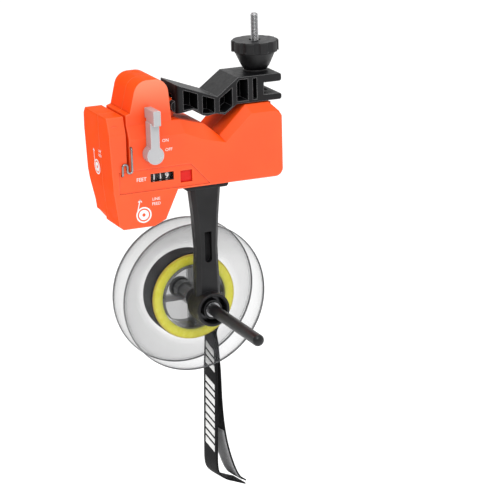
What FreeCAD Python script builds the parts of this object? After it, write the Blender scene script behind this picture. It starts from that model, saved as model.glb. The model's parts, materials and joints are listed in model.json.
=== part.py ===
"""Fishing line winder: a clamp-on line counter with a supply spool on an arm.

Frame: +X to the right along the housing, +Y from the front face to the back, +Z up.
The origin is on the rod axis, halfway through the depth of the housing.
Lengths are millimetres and angles are degrees.
"""
import FreeCAD, Part
import Sketcher
import math
import os
import re
from FreeCAD import Placement, Rotation, Vector

# name, value, what it is
DIMENSIONS = [
    ("rod_radius", 6.5, "fishing rod that the clamp is set on"),
    # housing outline
    ("half_depth", 22, "half of the housing's depth"),
    ("bevel_depth", 5, "depth of the sloping band round the top"),
    ("wall", 2.2, "housing wall"),
    ("body_left", -86.3, ""),
    ("body_right", 48, ""),
    ("body_bottom", -43.5, ""),
    ("left_slant_z", -2, "where the left side starts to slant"),
    ("left_knee_x", -84.4, ""),
    ("left_knee_z", -40, ""),
    ("lower_bottom", -68.5, "underside of the feed block"),
    ("lower_left", -78, ""),
    ("lower_round", 3.2, "feed block's lower left corner"),
    ("rear_cut", 5.8, "larger corner behind it"),
    ("rear_cut_front", 4, ""),
    ("lower_right", -54, ""),
    ("lower_corner_x", -45, ""),
    ("lower_corner_z", -64.5, ""),
    ("lower_shoulder", -35, "where the feed block meets the body"),
    ("block_top", 13.5, "top of the block left of the line slot"),
    ("block_front_top", 1.3, "its top edge on the front face"),
    ("block_back", 29.5, "its back, behind the rest of the housing"),
    ("block_lip", 3.5, "slope at the back of its top"),
    ("block_knee_z", -33, ""),
    ("block_low", -55, ""),
    ("plateau_top", 6.5, "top between tower and notch"),
    ("plateau_front", -3, "its edge on the front face"),
    ("plateau_start", -30, "right end of the level stretch"),
    ("plateau_front_start", -28, ""),
    ("right_top", 11.5, "top that carries the clamp stud"),
    ("right_front_top", 5.5, ""),
    ("right_chamfer_x", 40, ""),
    ("right_chamfer_z", 4, ""),
    ("right_front_chamfer_x", 43.5, ""),
    ("right_front_chamfer_z", 1.5, ""),
    ("notch_left_angle", 41, "slope of the notch's left wall"),
    ("notch_right_angle", 44, "slope of the notch's right wall"),
    ("notch_left_z", 1, "top end of the notch's left wall"),
    ("notch_front_x", 3.5, ""),
    ("notch_front_z", -13.5, ""),
    ("notch_front_right_x", 24, ""),
    ("notch_front_left_x", -14.5, ""),
    ("notch_front_left_z", -9, ""),
    ("tower_top", 37.8, ""),
    ("tower_round", 10.5, "radius of the tower's shoulders"),
    ("tower_left_top", -62.5, ""),
    ("tower_left_low", -68, ""),
    ("tower_flare_z", 15, ""),
    ("tower_right_top", -39, ""),
    ("tower_right_low", -36.5, ""),
    ("corner_round", 6, "lower right corner of the body"),
    ("edge_round", 1.2, "edges of the front and back faces"),
    # line slot
    ("slot_left", -73.6, ""),
    ("slot_right", -71.4, ""),
    ("slot_bottom", -27, ""),
    ("slot_wall", 1.8, ""),
    # counter panel
    ("panel_depth", 0.5, "recess of the counter panel"),
    ("panel_left", -80, ""),
    ("panel_top", -25.8, ""),
    ("panel_corner", -24.5, ""),
    ("panel_right", -9.5, ""),
    ("panel_bottom", -42.3, ""),
    ("window_left", -55.7, ""),
    ("window_right", -37.7, ""),
    ("window_low", -36.1, ""),
    ("window_high", -29.9, ""),
    ("window_depth", 1.0, "thickness of the lens"),
    ("lens_gap", 0.05, "clearance round the lens"),
    ("lens_set", 0.2, "lens below the panel"),
    ("button_left", -32.7, "opening for the reset button"),
    ("button_right", -23.4, ""),
    ("button_low", -39.2, ""),
    ("button_high", -30.3, ""),
    ("button_gap", 0.3, "clearance round the button"),
    ("button_set", 1.6, "button below the panel"),
    ("button_length", 6.2, ""),
    ("button_lip", 1.8, "lip that keeps the button in"),
    ("button_travel", 2.5, ""),
    # screws that close the housing
    ("screw_radius", 1.5, ""),
    ("screw_head", 2.7, ""),
    ("screw_head_height", 2.2, ""),
    ("screw_gap", 0.2, "clearance round a screw"),
    ("screw_reach", 9, "thread in the front shell"),
    ("boss_radius", 3.6, ""),
    # clamp
    ("bar_half_depth", 17, ""),
    ("bar_top", 32, ""),
    ("bar_left", -31.4, ""),
    ("bar_corner", 3.2, "radius of the corners at the hinge end"),
    ("bar_left_top", 31.4, ""),
    ("bar_left_bottom", 10.3, ""),
    ("bar_valley_x", -0.3, ""),
    ("bar_valley_z", 19.7, ""),
    ("bar_knee_x", 16.3, ""),
    ("bar_right", 50.4, ""),
    ("bar_bottom", 12.6, ""),
    ("bar_low_x", 14.9, ""),
    ("bar_web_end", 36.5, "where the fork opens"),
    ("tine_upper", 26.1, "underside of the upper tine"),
    ("tine_lower", 17.2, "top of the lower tine"),
    ("saddle_x", -1.3, ""),
    ("saddle_gap", 0.55, "saddle above the rod"),
    ("saddle_right_x", 5.4, ""),
    ("saddle_left_x", -8.4, ""),
    ("arch_x", -11.9, ""),
    ("arch_knee_x", -15.7, ""),
    ("arch_knee_z", 10.7, ""),
    ("arch_end_x", -19.1, ""),
    ("arch_end_z", 12.3, ""),
    ("bar_rim", 1.8, "rim round the bar's pockets"),
    ("bar_rib", 3.8, "rib between two pockets"),
    ("bar_round", 1.8, "corners of the fork"),
    ("bar_web", 4, "web between front and back pockets"),
    ("hinge_x", -30.5, "clamp hinge"),
    ("hinge_z", 15, ""),
    ("hinge_pin_radius", 2, ""),
    ("hinge_ear_radius", 4, ""),
    ("hinge_lug_radius", 4.2, ""),
    ("hinge_lug_half", 6, "half of the lug's width"),
    ("hinge_ear_half", 12, "half of the width over the ears"),
    ("hinge_side_gap", 0.3, "between lug and ears"),
    ("hinge_gap", 0.06, "running fit on the pin"),
    ("hinge_cover", 1.5, "closed end of the front ear"),
    ("stud_x", 37.5, ""),
    ("stud_radius", 2.95, "M6"),
    ("stud_top", 74.5, ""),
    ("stud_gap", 0.15, "clearance in the housing"),
    ("stud_head_half", 5, "half across flats of the stud's head"),
    ("stud_head_height", 4, ""),
    ("stud_head_z", -0.5, ""),
    ("stud_boss_half", 8, ""),
    ("stud_floor", 2, "floor under the stud's head"),
    ("stud_slot_gap", 0.4, "clearance in the bar"),
    ("stud_slot_run", 5.3, "extra length of the bar's hole for its tilt"),
    ("washer_radius", 9, ""),
    ("washer_height", 1.5, ""),
    ("face_gap", 0.05, "between flat faces that bear on each other"),
    ("knob_neck_radius", 8.3, ""),
    ("knob_waist_radius", 10.3, ""),
    ("knob_bell_radius", 14.7, ""),
    ("knob_radius", 17.4, ""),
    ("knob_waist_z", 36.2, ""),
    ("knob_head_z", 47.1, ""),
    ("knob_top", 54.9, ""),
    ("knob_recess_radius", 4.3, ""),
    ("knob_recess_depth", 5, ""),
    ("knob_lobes", 10, ""),
    ("lobe_cut_radius", 3.4, ""),
    ("lobe_cut_depth", 1.5, ""),
    ("insert_radius", 5, ""),
    ("insert_gap", 0.02, "moulded in"),
    ("thread_gap", 0.07, "thread on the stud"),
    # arm and spindle
    ("arm_x", -11.6, ""),
    ("arm_front", -19, ""),
    ("arm_depth", 9, ""),
    ("arm_chamfer", 2.8, ""),
    ("foot_half_width", 17, ""),
    ("foot_back", 8, ""),
    ("foot_height", 3.2, ""),
    ("foot_round", 2.4, ""),
    ("neck_half_top", 12, ""),
    ("neck_half_mid", 9.8, ""),
    ("neck_half_waist", 8.3, ""),
    ("neck_half_low", 9.3, ""),
    ("neck_mid_z", -67, ""),
    ("neck_waist_z", -92, ""),
    ("neck_low_z", -122, ""),
    ("groove_half", 2.8, "slot in the arm's front"),
    ("groove_top", -79.3, ""),
    ("groove_low", -100, ""),
    ("groove_depth", 5, ""),
    ("tenon_half", 9, "tongue of the arm inside the housing"),
    ("tenon_top", -28, ""),
    ("tenon_front", -14, ""),
    ("tenon_back", -6, ""),
    ("tenon_gap", 0.15, ""),
    ("arm_screw_spacing", 10, ""),
    ("arm_screw_z", -35, ""),
    ("spindle_z", -137.3, ""),
    ("boss_outer", 12.7, ""),
    ("boss_front", -26.4, ""),
    ("boss_back", -6, ""),
    ("boss_recess", 9, ""),
    ("boss_bore", 10.3, ""),
    ("nose_radius", 8, ""),
    ("nose_back", 8.9, ""),
    ("bush_outer", 7.2, ""),
    ("bush_front", -24.5, ""),
    ("bush_seat", -14, "spring seat inside the bush"),
    ("bush_recess", 5.9, ""),
    ("bush_gap", 0.04, "bush in the arm"),
    ("spindle_radius", 4.35, ""),
    ("spindle_front", -109, ""),
    ("spindle_back", 46, ""),
    ("spindle_tip", 3.2, "rounding of the tip"),
    ("spindle_gap", 0.08, "running fit on the spindle"),
    ("spindle_thread", 3.9, "threaded rear end"),
    ("collar_front", -25.2, ""),
    ("collar_height", 1, ""),
    ("collar_radius", 5.6, ""),
    ("collar_root", 3.6, "groove for the collar"),
    ("ring_height", 0.8, "steel ring round the bush"),
    ("spring_wire", 0.45, "wire radius of the spindle spring"),
    ("spring_radius", 4.95, ""),
    ("spring_turns", 6, ""),
    ("spindle_push", 5, "travel of the spindle against its spring"),
    # supply spool
    ("spool_front", 10, ""),
    ("spool_width", 24.5, ""),
    ("flange_radius", 56.6, ""),
    ("flange_wall", 1.4, ""),
    ("bead", 2, "thickness of the flange's rim"),
    ("bead_width", 1.8, ""),
    ("drum_radius", 25, ""),
    ("drum_wall", 1.5, ""),
    ("tube_radius", 7.5, ""),
    ("spool_web", 1.4, ""),
    ("spool_web_at", 15, ""),
    ("spool_ribs", 4, ""),
    ("rib_half", 0.7, ""),
    ("line_radius", 31.6, "wound line"),
    ("line_gap", 0.15, ""),
    ("line_crown", 0.6, ""),
    ("nut_radius", 8.5, ""),
    ("nut_height", 6, ""),
    # strap
    ("strap_gap", 0.35, "strap clear of the wound line"),
    ("strap_thickness", 1.4, ""),
    ("strap_side_gap", 0.45, "strap clear of the flanges"),
    ("strap_left_x", 3.8, "left tail where it leaves the loop"),
    ("strap_bend_x", 1.6, ""),
    ("strap_bend_z", -276, ""),
    ("strap_round_x", 3.6, ""),
    ("strap_round_z", -283, ""),
    ("strap_turn_x", 8.2, ""),
    ("strap_turn_z", -287, ""),
    ("strap_end_x", 24.5, ""),
    ("strap_end_z", -294.3, ""),
    ("strap_right_x", 5.8, "right tail where it leaves the loop"),
    ("strap_mid_x", 6.6, ""),
    ("strap_mid_z", -223, ""),
    ("strap_outer_x", 9.9, ""),
    ("strap_outer_z", -255, ""),
    ("strap_low_x", 17, ""),
    ("strap_low_z", -282, ""),
    ("strap_rise", 2.7, "end of the right tail above the left one's"),
    # tension lever
    ("lever_x", -55.2, ""),
    ("lever_z", -14.3, ""),
    ("lever_disc", 6.4, ""),
    ("lever_reach", 10, "front of the lever before the front face"),
    ("lever_gap", 0.4, "lever clear of the housing"),
    ("lever_neck_half", 3.3, ""),
    ("lever_step_z", 8.4, ""),
    ("lever_top_z", 19.2, ""),
    ("lever_block_half", 2.7, ""),
    ("lever_block_reach", 15.3, "thumb block before the front face"),
    ("lever_block_behind", 2.4, "and behind it"),
    ("lever_round", 0.8, ""),
    ("lever_swing", 40, "from pressing to free"),
    ("shaft_radius", 2, ""),
    ("shaft_gap", 0.08, ""),
    ("shaft_end_wall", 3.2, "shaft's end to the rear face"),
    ("cam_base", 4.3, ""),
    ("cam_rise", 1.054, ""),
    ("cam_front", 11, ""),
    ("cam_height", 2, ""),
    # measuring wheel
    ("wheel_x", -57.2, ""),
    ("wheel_z", -44, ""),
    ("wheel_radius", 15.16, "3.2 turns for one foot of line"),
    ("wheel_front", 4, ""),
    ("wheel_width", 6, ""),
    ("wheel_hub", 4, ""),
    ("wheel_hole", 2, ""),
    ("wheel_hole_at", 7.6, "radius of the ring of holes"),
    ("tyre", 1.6, ""),
    ("tyre_groove", 0.4, ""),
    ("mshaft_radius", 1.5, ""),
    ("mshaft_end_wall", 2.8, "shaft's ends to the outer faces"),
    ("mshaft_gap", 0.06, ""),
    ("worm_pitch_radius", 3, ""),
    ("worm_half", 6, "half of the worm's length"),
    ("gear_module", 0.5, ""),
    ("gear_teeth", 32, ""),
    ("gear_width", 3, ""),
    ("tooth_height", 0.4, "above and below the pitch circle"),
    ("counter_set", 11, "counter shaft behind the front face"),
    ("counter_z", -33, ""),
    # pressure arm
    ("roller_radius", 3.9, ""),
    ("roller_room", 0.6, "room round the roller when it swings out"),
    ("roller_out", 0.83, "how far the roller swings out"),
    ("roller_up", 1.07, ""),
    ("seat_x", -55.4, "spring's seat on the arm"),
    ("seat_half", 2.4, ""),
    ("post_x", -50, "post behind the spring"),
    ("post_z", -25, ""),
    ("nip", 0.3, "gap between wheel and roller"),
    ("axle_radius", 1.25, ""),
    ("pivot_x", -66, ""),
    ("pivot_z", -35, ""),
    ("follower_drop", 4.9, "follower below the lever's shaft"),
    ("follower_radius", 0.35, ""),
    ("crank_half", 1.9, ""),
    ("crank_front", 11, ""),
    ("crank_height", 2, ""),
    ("pivot_radius", 1.5, ""),
    ("press_wire", 0.3, "wire radius of the small springs"),
    ("press_radius", 2, ""),
    ("press_turns", 3, ""),
    # counter
    ("digit_radius", 8.4, ""),
    ("digit_width", 4.6, ""),
    ("digit_gap", 0.4, ""),
    ("digit_left", -54.6, ""),
    ("cshaft_left", -60.8, ""),
    ("cshaft_right", -36, ""),
    ("frame_left", -61.2, ""),
    ("frame_right", -35.8, ""),
    ("frame_plate", 1.4, ""),
    ("frame_top", -22.6, ""),
    ("frame_low", -39.8, ""),
    ("frame_behind", 8, "bracket behind the counter shaft"),
    ("stop_behind", 5, "plate behind the reset spring"),
    ("reset_radius", 2.6, ""),
    ("reset_turns", 4, ""),
    # line guides
    ("wire_radius", 0.8, ""),
    ("wire_stand", 1.3, "guide wire in front of the face"),
    ("wire_top", -8.8, ""),
    ("wire_low", -26.8, ""),
    ("wire_hook_top", -20.2, ""),
    ("wire_end", -28.6, ""),
    ("wire_run", 3.6, "width of the guide's bend"),
    ("wire_depth", 1.8, "wire inside the wall"),
    ("eyelet_x", -71.5, ""),
    ("eyelet_y", 7, ""),
    ("eyelet_bore", 1.8, ""),
    ("eyelet_outer", 3.2, ""),
    ("eyelet_flange", 4.6, ""),
    ("eyelet_lip", 1.2, ""),
]

NAMES = {name for name, value, note in DIMENSIONS}
WORD = re.compile(r"[A-Za-z_]\w*")

# places worked out from the driving dimensions
NOTCH_SUM = "sin(notch_left_angle + notch_right_angle)"
NOTCH_X = "rod_radius * (cos(notch_left_angle) - cos(notch_right_angle)) / " + NOTCH_SUM
NOTCH_Z = "-rod_radius * (sin(notch_left_angle) + sin(notch_right_angle)) / " + NOTCH_SUM
NOTCH_RIGHT_X = "(rod_radius + right_top * cos(notch_right_angle)) / sin(notch_right_angle)"
NOTCH_LEFT_X = "-(rod_radius + notch_left_z * cos(notch_left_angle)) / sin(notch_left_angle)"
INNER = "(rod_radius + wall)"
CAVITY_NOTCH_X = INNER + " * (cos(notch_left_angle) - cos(notch_right_angle)) / " + NOTCH_SUM
CAVITY_NOTCH_Z = "-" + INNER + " * (sin(notch_left_angle) + sin(notch_right_angle)) / " + NOTCH_SUM
CAVITY_RIGHT_X = ("(" + INNER + " + (right_top - wall) * cos(notch_right_angle))"
                  " / sin(notch_right_angle)")
CAVITY_LEFT_X = ("-(" + INNER + " + (notch_left_z - wall) * cos(notch_left_angle))"
                 " / sin(notch_left_angle)")
SLOT_MIDDLE = "(slot_left + slot_right) / 2"
PANEL_FACE = "-half_depth + panel_depth"
SADDLE_Z = "rod_radius + saddle_gap + 0.55"
WASHER_Z = "bar_top + face_gap"
KNOB_Z = "bar_top + 2 * face_gap + washer_height"
WORM_CENTRE = "gear_module * gear_teeth / 2"
ROLLER_X = "wheel_x - wheel_radius - nip - roller_radius"
MSHAFT_END = "(half_depth - mshaft_end_wall)"
COUNTER_Y = "(counter_set - half_depth)"
STOP_Y = "(counter_set - half_depth + stop_behind)"
LEVER_FRONT = "(-half_depth - lever_reach)"

# closing screws: x, z
SCREWS = [("body_left + 4.8", "block_top - 9.5"), ("lower_left + 10", "lower_bottom + 6"),
          ("body_right - 6.5", "body_bottom + 6.5"), ("body_right - 34", "body_bottom + 6.5"),
          ("tower_right_top - 10.5", "tower_top - 6.8"), ("plateau_start + 3.5", "plateau_front - 9")]

doc = FreeCAD.newDocument("line_winder")
sheet = doc.addObject("Spreadsheet::Sheet", "Dims")
cuts = []
parts = []


def fill_sheet():
    """One row for each driving dimension: name, value, note."""
    for row, (name, value, note) in enumerate(DIMENSIONS, 1):
        sheet.set("A%d" % row, name)
        sheet.set("B%d" % row, str(value))
        sheet.set("C%d" % row, note)
        sheet.setAlias("B%d" % row, name)
    doc.recompute()


def formula(text):
    """The same text with every dimension's name pointing at its cell."""
    return WORD.sub(lambda word: "Dims." + word.group(0) if word.group(0) in NAMES
                    else word.group(0), str(text))


def bind(thing, prop, text):
    thing.setExpression(prop, formula(text))


def size(name):
    return float(sheet.get(name))


def polygon(sketch, points):
    """Closed outline; every corner is placed by two formulas."""
    count = len(points)
    start = [Vector(10 * math.cos(math.tau * i / count), 10 * math.sin(math.tau * i / count), 0)
             for i in range(count)]
    first = sketch.GeometryCount
    for i in range(count):
        sketch.addGeometry(Part.LineSegment(start[i], start[(i + 1) % count]), False)
    for i in range(count):
        after = first + (i + 1) % count
        sketch.addConstraint(Sketcher.Constraint("Coincident", first + i, 2, after, 1))
    for i, (across, up) in enumerate(points):
        fix(sketch, first + i, 1, across, up, start[i])


def fix(sketch, geometry, point, across, up, start):
    """Place one point of a sketch by its distance from the sketch's origin."""
    for kind, text, value in (("DistanceX", across, start.x), ("DistanceY", up, start.y)):
        number = sketch.addConstraint(Sketcher.Constraint(kind, -1, 1, geometry, point, value))
        bind(sketch, "Constraints[%d]" % number, text)


def circle(sketch, across, up, radius):
    start = Vector(1, 1, 0)
    number = sketch.addGeometry(Part.Circle(start, Vector(0, 0, 1), 1), False)
    fix(sketch, number, 3, across, up, start)
    ring = sketch.addConstraint(Sketcher.Constraint("Radius", number, 1))
    bind(sketch, "Constraints[%d]" % ring, radius)


def rectangle(left, low, right, high):
    return [(left, low), (right, low), (right, high), (left, high)]


class Piece:
    """A sub-part that is grown feature by feature in one body."""

    def __init__(self, label, place=None, turn=None):
        self.body = doc.addObject("PartDesign::Body", label)
        self.body.Label = label
        if turn:
            self.body.Placement = Placement(Vector(), turn)
        if place:
            for axis, text in zip("xyz", place):
                bind(self.body, "Placement.Base." + axis, text)
        parts.append(self.body)

    def sketch(self, plane, at, outlines=(), circles=()):
        """A sketch on XY, XZ or YZ, moved to 'at' along that plane's axis."""
        drawing = self.body.newObject("Sketcher::SketchObject", "Sketch")
        base = [one for one in self.body.Origin.OriginFeatures if one.Role == plane + "_Plane"][0]
        drawing.AttachmentSupport = [(base, "")]
        drawing.MapMode = "FlatFace"
        bind(drawing, "AttachmentOffset.Base.z", "-(%s)" % at if plane == "XZ" else at)
        for points in outlines:
            polygon(drawing, points)
        for across, up, radius in circles:
            circle(drawing, across, up, radius)
        return drawing

    def feature(self, kind, drawing, start, end, plane, taper=None):
        made = self.body.newObject("PartDesign::" + kind, kind)
        made.Profile = drawing
        bind(made, "Length", "(%s) - (%s)" % (end, start))
        made.Reversed = (plane == "XZ") == (kind == "Pad")
        if taper:
            bind(made, "TaperAngle", taper)
        drawing.Visibility = False
        self.body.Tip = made
        return made

    def pad(self, plane, start, end, outlines=(), circles=(), taper=None):
        """Material from 'start' to 'end' along the plane's axis."""
        drawing = self.sketch(plane, start, outlines, circles)
        return self.feature("Pad", drawing, start, end, plane, taper)

    def pocket(self, plane, start, end, outlines=(), circles=()):
        """Material taken away from 'start' to 'end' along the plane's axis."""
        drawing = self.sketch(plane, start, outlines, circles)
        made = self.feature("Pocket", drawing, start, end, plane)
        cuts.append((self.body.Label, made))
        return made

    def turned(self, profile):
        """Revolved about the piece's own Z axis; the profile is (radius, height)."""
        drawing = self.sketch("XZ", "0", [profile])
        made = self.body.newObject("PartDesign::Revolution", "Revolution")
        made.Profile = drawing
        made.ReferenceAxis = (drawing, ["V_Axis"])
        made.Angle = 360
        self.body.Tip = made
        return made

    def loft(self, low, low_at, high, high_at):
        """Ruled solid between two outlines with as many corners each."""
        first = self.sketch("XZ", low_at, [low])
        second = self.sketch("XZ", high_at, [high])
        made = self.body.newObject("PartDesign::AdditiveLoft", "Loft")
        made.Profile = first
        made.Sections = [second]
        made.Ruled = True
        self.body.Tip = made
        return made

    def polar(self, feature, count):
        """Copies of a feature round the piece's own Z axis."""
        doc.recompute()
        made = self.body.newObject("PartDesign::PolarPattern", "PolarPattern")
        made.Originals = [feature]
        axis = [one for one in self.body.Origin.OriginFeatures if one.Role == "Z_Axis"][0]
        made.Axis = (axis, [""])
        made.Angle = 360
        bind(made, "Occurrences", count)
        self.body.Tip = made
        return made

    def dress(self, kind, chosen, amount):
        """Fillet or Chamfer on the edges that the test chooses."""
        doc.recompute()
        base = self.body.Tip
        names = ["Edge%d" % number for number, edge in enumerate(base.Shape.Edges, 1)
                 if chosen(edge)]
        if not names:
            raise RuntimeError("no edge to dress on " + self.body.Label)
        made = self.body.newObject("PartDesign::" + kind, kind)
        made.Base = (base, names)
        bind(made, "Radius" if kind == "Fillet" else "Size", amount)
        self.body.Tip = made
        return made


def middle(edge):
    return edge.valueAt((edge.FirstParameter + edge.LastParameter) / 2)


def runs_along(edge, axis):
    """A straight edge parallel to the axis."""
    if len(edge.Vertexes) < 2 or edge.Curve.TypeId != "Part::GeomLine":
        return False
    run = edge.Vertexes[1].Point - edge.Vertexes[0].Point
    return run.Length > 1e-6 and abs(run.normalize().dot(axis)) > 0.999


def near(value, wanted, within=0.02):
    return abs(value - wanted) < within


ALONG_X, ALONG_Y, ALONG_Z = Vector(1, 0, 0), Vector(0, 1, 0), Vector(0, 0, 1)
TO_Y = Rotation(ALONG_Z, ALONG_Y)
TO_X = Rotation(ALONG_Z, ALONG_X)


def round_shaft(label, place, turn, radius, length, name=None):
    """Plain pin along its own Z axis."""
    pin = Piece(label, place, turn)
    pin.turned(rectangle("0", "0", radius, length))
    return pin


# ---------------------------------------------------------------- housing

LOWER_EDGE = [("lower_left", "lower_bottom"), ("lower_right", "lower_bottom"),
              ("lower_corner_x", "lower_corner_z"), ("lower_shoulder", "body_bottom"),
              ("body_right", "body_bottom")]
NOTCH_EDGE = [(NOTCH_RIGHT_X, "right_top"), (NOTCH_X, NOTCH_Z), (NOTCH_LEFT_X, "notch_left_z")]
LEFT_LOW = [("body_left", "left_slant_z"), ("left_knee_x", "left_knee_z"),
            ("lower_left - lower_round", "lower_bottom + lower_round * 0.85")]
LEFT_EDGE = [("body_left", "block_top")] + LEFT_LOW

FULL_OUTLINE = (LOWER_EDGE
                + [("body_right", "right_chamfer_z"), ("right_chamfer_x", "right_top")]
                + NOTCH_EDGE
                + [("plateau_start", "plateau_top"), ("tower_right_low", "plateau_top"),
                   ("tower_right_top", "tower_top"), ("tower_left_top", "tower_top"),
                   ("tower_left_low", "tower_flare_z"), (SLOT_MIDDLE, "block_top")]
                + LEFT_EDGE)

BAND_OUTLINE = (LOWER_EDGE
                + [("body_right", "right_chamfer_z"), ("right_chamfer_x", "right_top")]
                + NOTCH_EDGE
                + [("plateau_start", "plateau_top"), (SLOT_MIDDLE, "plateau_top"),
                   (SLOT_MIDDLE, "block_top")]
                + LEFT_EDGE)

FACE_OUTLINE = (LOWER_EDGE
                + [("body_right", "right_front_chamfer_z"),
                   ("right_front_chamfer_x", "right_front_top"),
                   ("notch_front_right_x", "right_front_top"),
                   ("notch_front_x", "notch_front_z"),
                   ("notch_front_left_x", "notch_front_left_z"),
                   ("plateau_front_start", "plateau_front"), (SLOT_MIDDLE, "plateau_front"),
                   (SLOT_MIDDLE, "block_front_top"), ("body_left", "block_front_top")]
                + LEFT_LOW)

# block behind the left end of the rear shell
BLOCK_OUTLINE = ([("slot_left", "lower_bottom + lower_round"), ("slot_left", "block_top"),
                  ("body_left", "block_top")] + LEFT_LOW)
BLOCK_TOP_CUT = [("block_back - block_lip", "block_top"), ("block_back", "block_top - 4.5"),
                 ("block_back + 1", "block_top - 4.5"), ("block_back + 1", "block_top + 1"),
                 ("block_back - block_lip", "block_top + 1")]
BLOCK_LOW_CUT = [("half_depth", "block_low"), ("block_back", "block_knee_z"),
                 ("block_back + 1", "block_knee_z"), ("block_back + 1", "lower_bottom"),
                 ("half_depth", "lower_bottom")]
BLOCK_HOLLOW = [("half_depth - wall - 0.1", "left_knee_z - wall * 2"),
                ("half_depth + wall * 0.8", "left_knee_z - wall * 2"),
                ("block_back - wall", "block_knee_z"),
                ("block_back - wall", "block_top - 4.5 - wall * 0.4"),
                ("block_back - block_lip - wall * 0.6", "block_top - wall"),
                ("half_depth - wall - 0.1", "block_top - wall")]

CAVITY_LOWER = [("lower_left + rear_cut * 0.8", "lower_bottom + wall"),
                ("lower_right - wall * 0.2", "lower_bottom + wall"),
                ("lower_corner_x - wall", "lower_corner_z + wall * 0.5"),
                ("lower_shoulder - wall", "body_bottom + wall"),
                ("body_right - wall", "body_bottom + wall")]
SLEEVE = [("slot_right + slot_wall", "slot_bottom - slot_wall"),
          ("slot_left - slot_wall", "slot_bottom - slot_wall")]
CAVITY_LEFT = [("body_left + wall", "left_slant_z"), ("left_knee_x + wall", "left_knee_z"),
               ("lower_left + rear_cut * 0.14", "lower_bottom + rear_cut")]

DEEP_CAVITY = (CAVITY_LOWER
               + [("body_right - wall", "right_chamfer_z - wall * 0.45"),
                  ("right_chamfer_x - wall * 0.4", "right_top - wall"),
                  (CAVITY_RIGHT_X, "right_top - wall"), (CAVITY_NOTCH_X, CAVITY_NOTCH_Z),
                  (CAVITY_LEFT_X, "notch_left_z - wall"),
                  ("plateau_start", "plateau_top - wall"),
                  ("tower_right_low - wall", "plateau_top - wall"),
                  ("tower_right_top - wall", "tower_top - tower_round"),
                  ("tower_right_top - tower_round * 0.75", "tower_top - wall"),
                  ("tower_left_top + tower_round * 0.75", "tower_top - wall"),
                  ("tower_left_top", "tower_top - tower_round"),
                  ("tower_left_low + wall * 1.1", "tower_flare_z - wall * 0.5"),
                  ("slot_right + slot_wall", "block_top - wall")]
               + SLEEVE
               + [("slot_left - slot_wall", "block_top - wall"),
                  ("body_left + wall", "block_top - wall")]
               + CAVITY_LEFT)

FACE_CAVITY = (CAVITY_LOWER
               + [("body_right - wall", "right_front_chamfer_z - wall * 0.5"),
                  ("right_front_chamfer_x - wall * 0.4", "right_front_top - wall"),
                  ("notch_front_right_x + wall * 0.45", "right_front_top - wall"),
                  ("notch_front_x", "notch_front_z - wall * 1.4"),
                  ("notch_front_left_x - wall * 0.4", "notch_front_left_z - wall"),
                  ("plateau_front_start - wall * 0.2", "plateau_front - wall"),
                  ("slot_right + slot_wall", "plateau_front - wall")]
               + SLEEVE
               + [("slot_left - slot_wall", "block_front_top - wall"),
                  ("body_left + wall", "block_front_top - wall")]
               + CAVITY_LEFT)

STUD_BOSS = rectangle("stud_x - stud_boss_half", "stud_head_z - stud_floor",
                      "stud_x + stud_boss_half", "right_top - wall")
LUG = [("tower_right_low - wall", "plateau_top - wall"), ("hinge_x", "plateau_top - wall"),
       ("hinge_x", "hinge_z"), ("tower_right_low - wall", "hinge_z + hinge_lug_radius")]


def spread(front, near_end, far_end):
    """Two formulas for a stretch between two depths, in front of or behind the parting plane."""
    if front:
        return "-(%s)" % far_end, "-(%s)" % near_end
    return near_end, far_end


def housing_shell(label, front):
    """The outside, the hollow and the bosses that both halves share."""
    shell = Piece(label)
    band = "half_depth - bevel_depth" if front else "half_depth"
    start, end = spread(front, "0", band)
    shell.pad("XZ", start, end, [FULL_OUTLINE])
    if front:
        shell.loft(FACE_OUTLINE, "-half_depth", BAND_OUTLINE, "-(%s)" % band)
    top, left, right = size("tower_top"), size("tower_left_top"), size("tower_right_top")
    shell.dress("Fillet", lambda edge: runs_along(edge, ALONG_Y) and near(middle(edge).z, top)
                and (near(middle(edge).x, left) or near(middle(edge).x, right)), "tower_round")
    low, side = size("body_bottom"), size("body_right")
    shell.dress("Fillet", lambda edge: runs_along(edge, ALONG_Y) and near(middle(edge).z, low)
                and near(middle(edge).x, side), "corner_round")
    start, end = spread(front, "0", band + " - wall")
    shell.pocket("XZ", start, end, [DEEP_CAVITY])
    if front:
        shell.pocket("XZ", "-half_depth + wall", "-(%s) + wall + 0.01" % band, [FACE_CAVITY])
    else:
        left_block(shell)
    add_bosses(shell, front)
    start, end = spread(front, "0", "half_depth + 1")
    slot = rectangle("slot_left", "slot_bottom", "slot_right", "tower_top + 1")
    shell.pocket("XZ", start, end, [slot])
    return shell


def left_block(shell):
    """Deep block behind the left end, and the feed block's cut corner."""
    shell.pad("XZ", "half_depth", "block_back", [BLOCK_OUTLINE])
    shell.pocket("YZ", "body_left - 1", "slot_left + 1", [BLOCK_TOP_CUT, BLOCK_LOW_CUT])
    shell.pocket("YZ", "left_knee_x + wall", "slot_left - slot_wall", [BLOCK_HOLLOW])
    corner = [("lower_left - lower_round - 1", "lower_bottom + rear_cut * 1.2"),
              ("lower_left - lower_round", "lower_bottom + rear_cut * 1.2"),
              ("lower_left + rear_cut * 0.43", "lower_bottom"),
              ("lower_left + rear_cut * 0.43", "lower_bottom - 1"),
              ("lower_left - lower_round - 1", "lower_bottom - 1")]
    shell.pocket("XZ", "rear_cut_front", "half_depth + 1", [corner])


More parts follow.
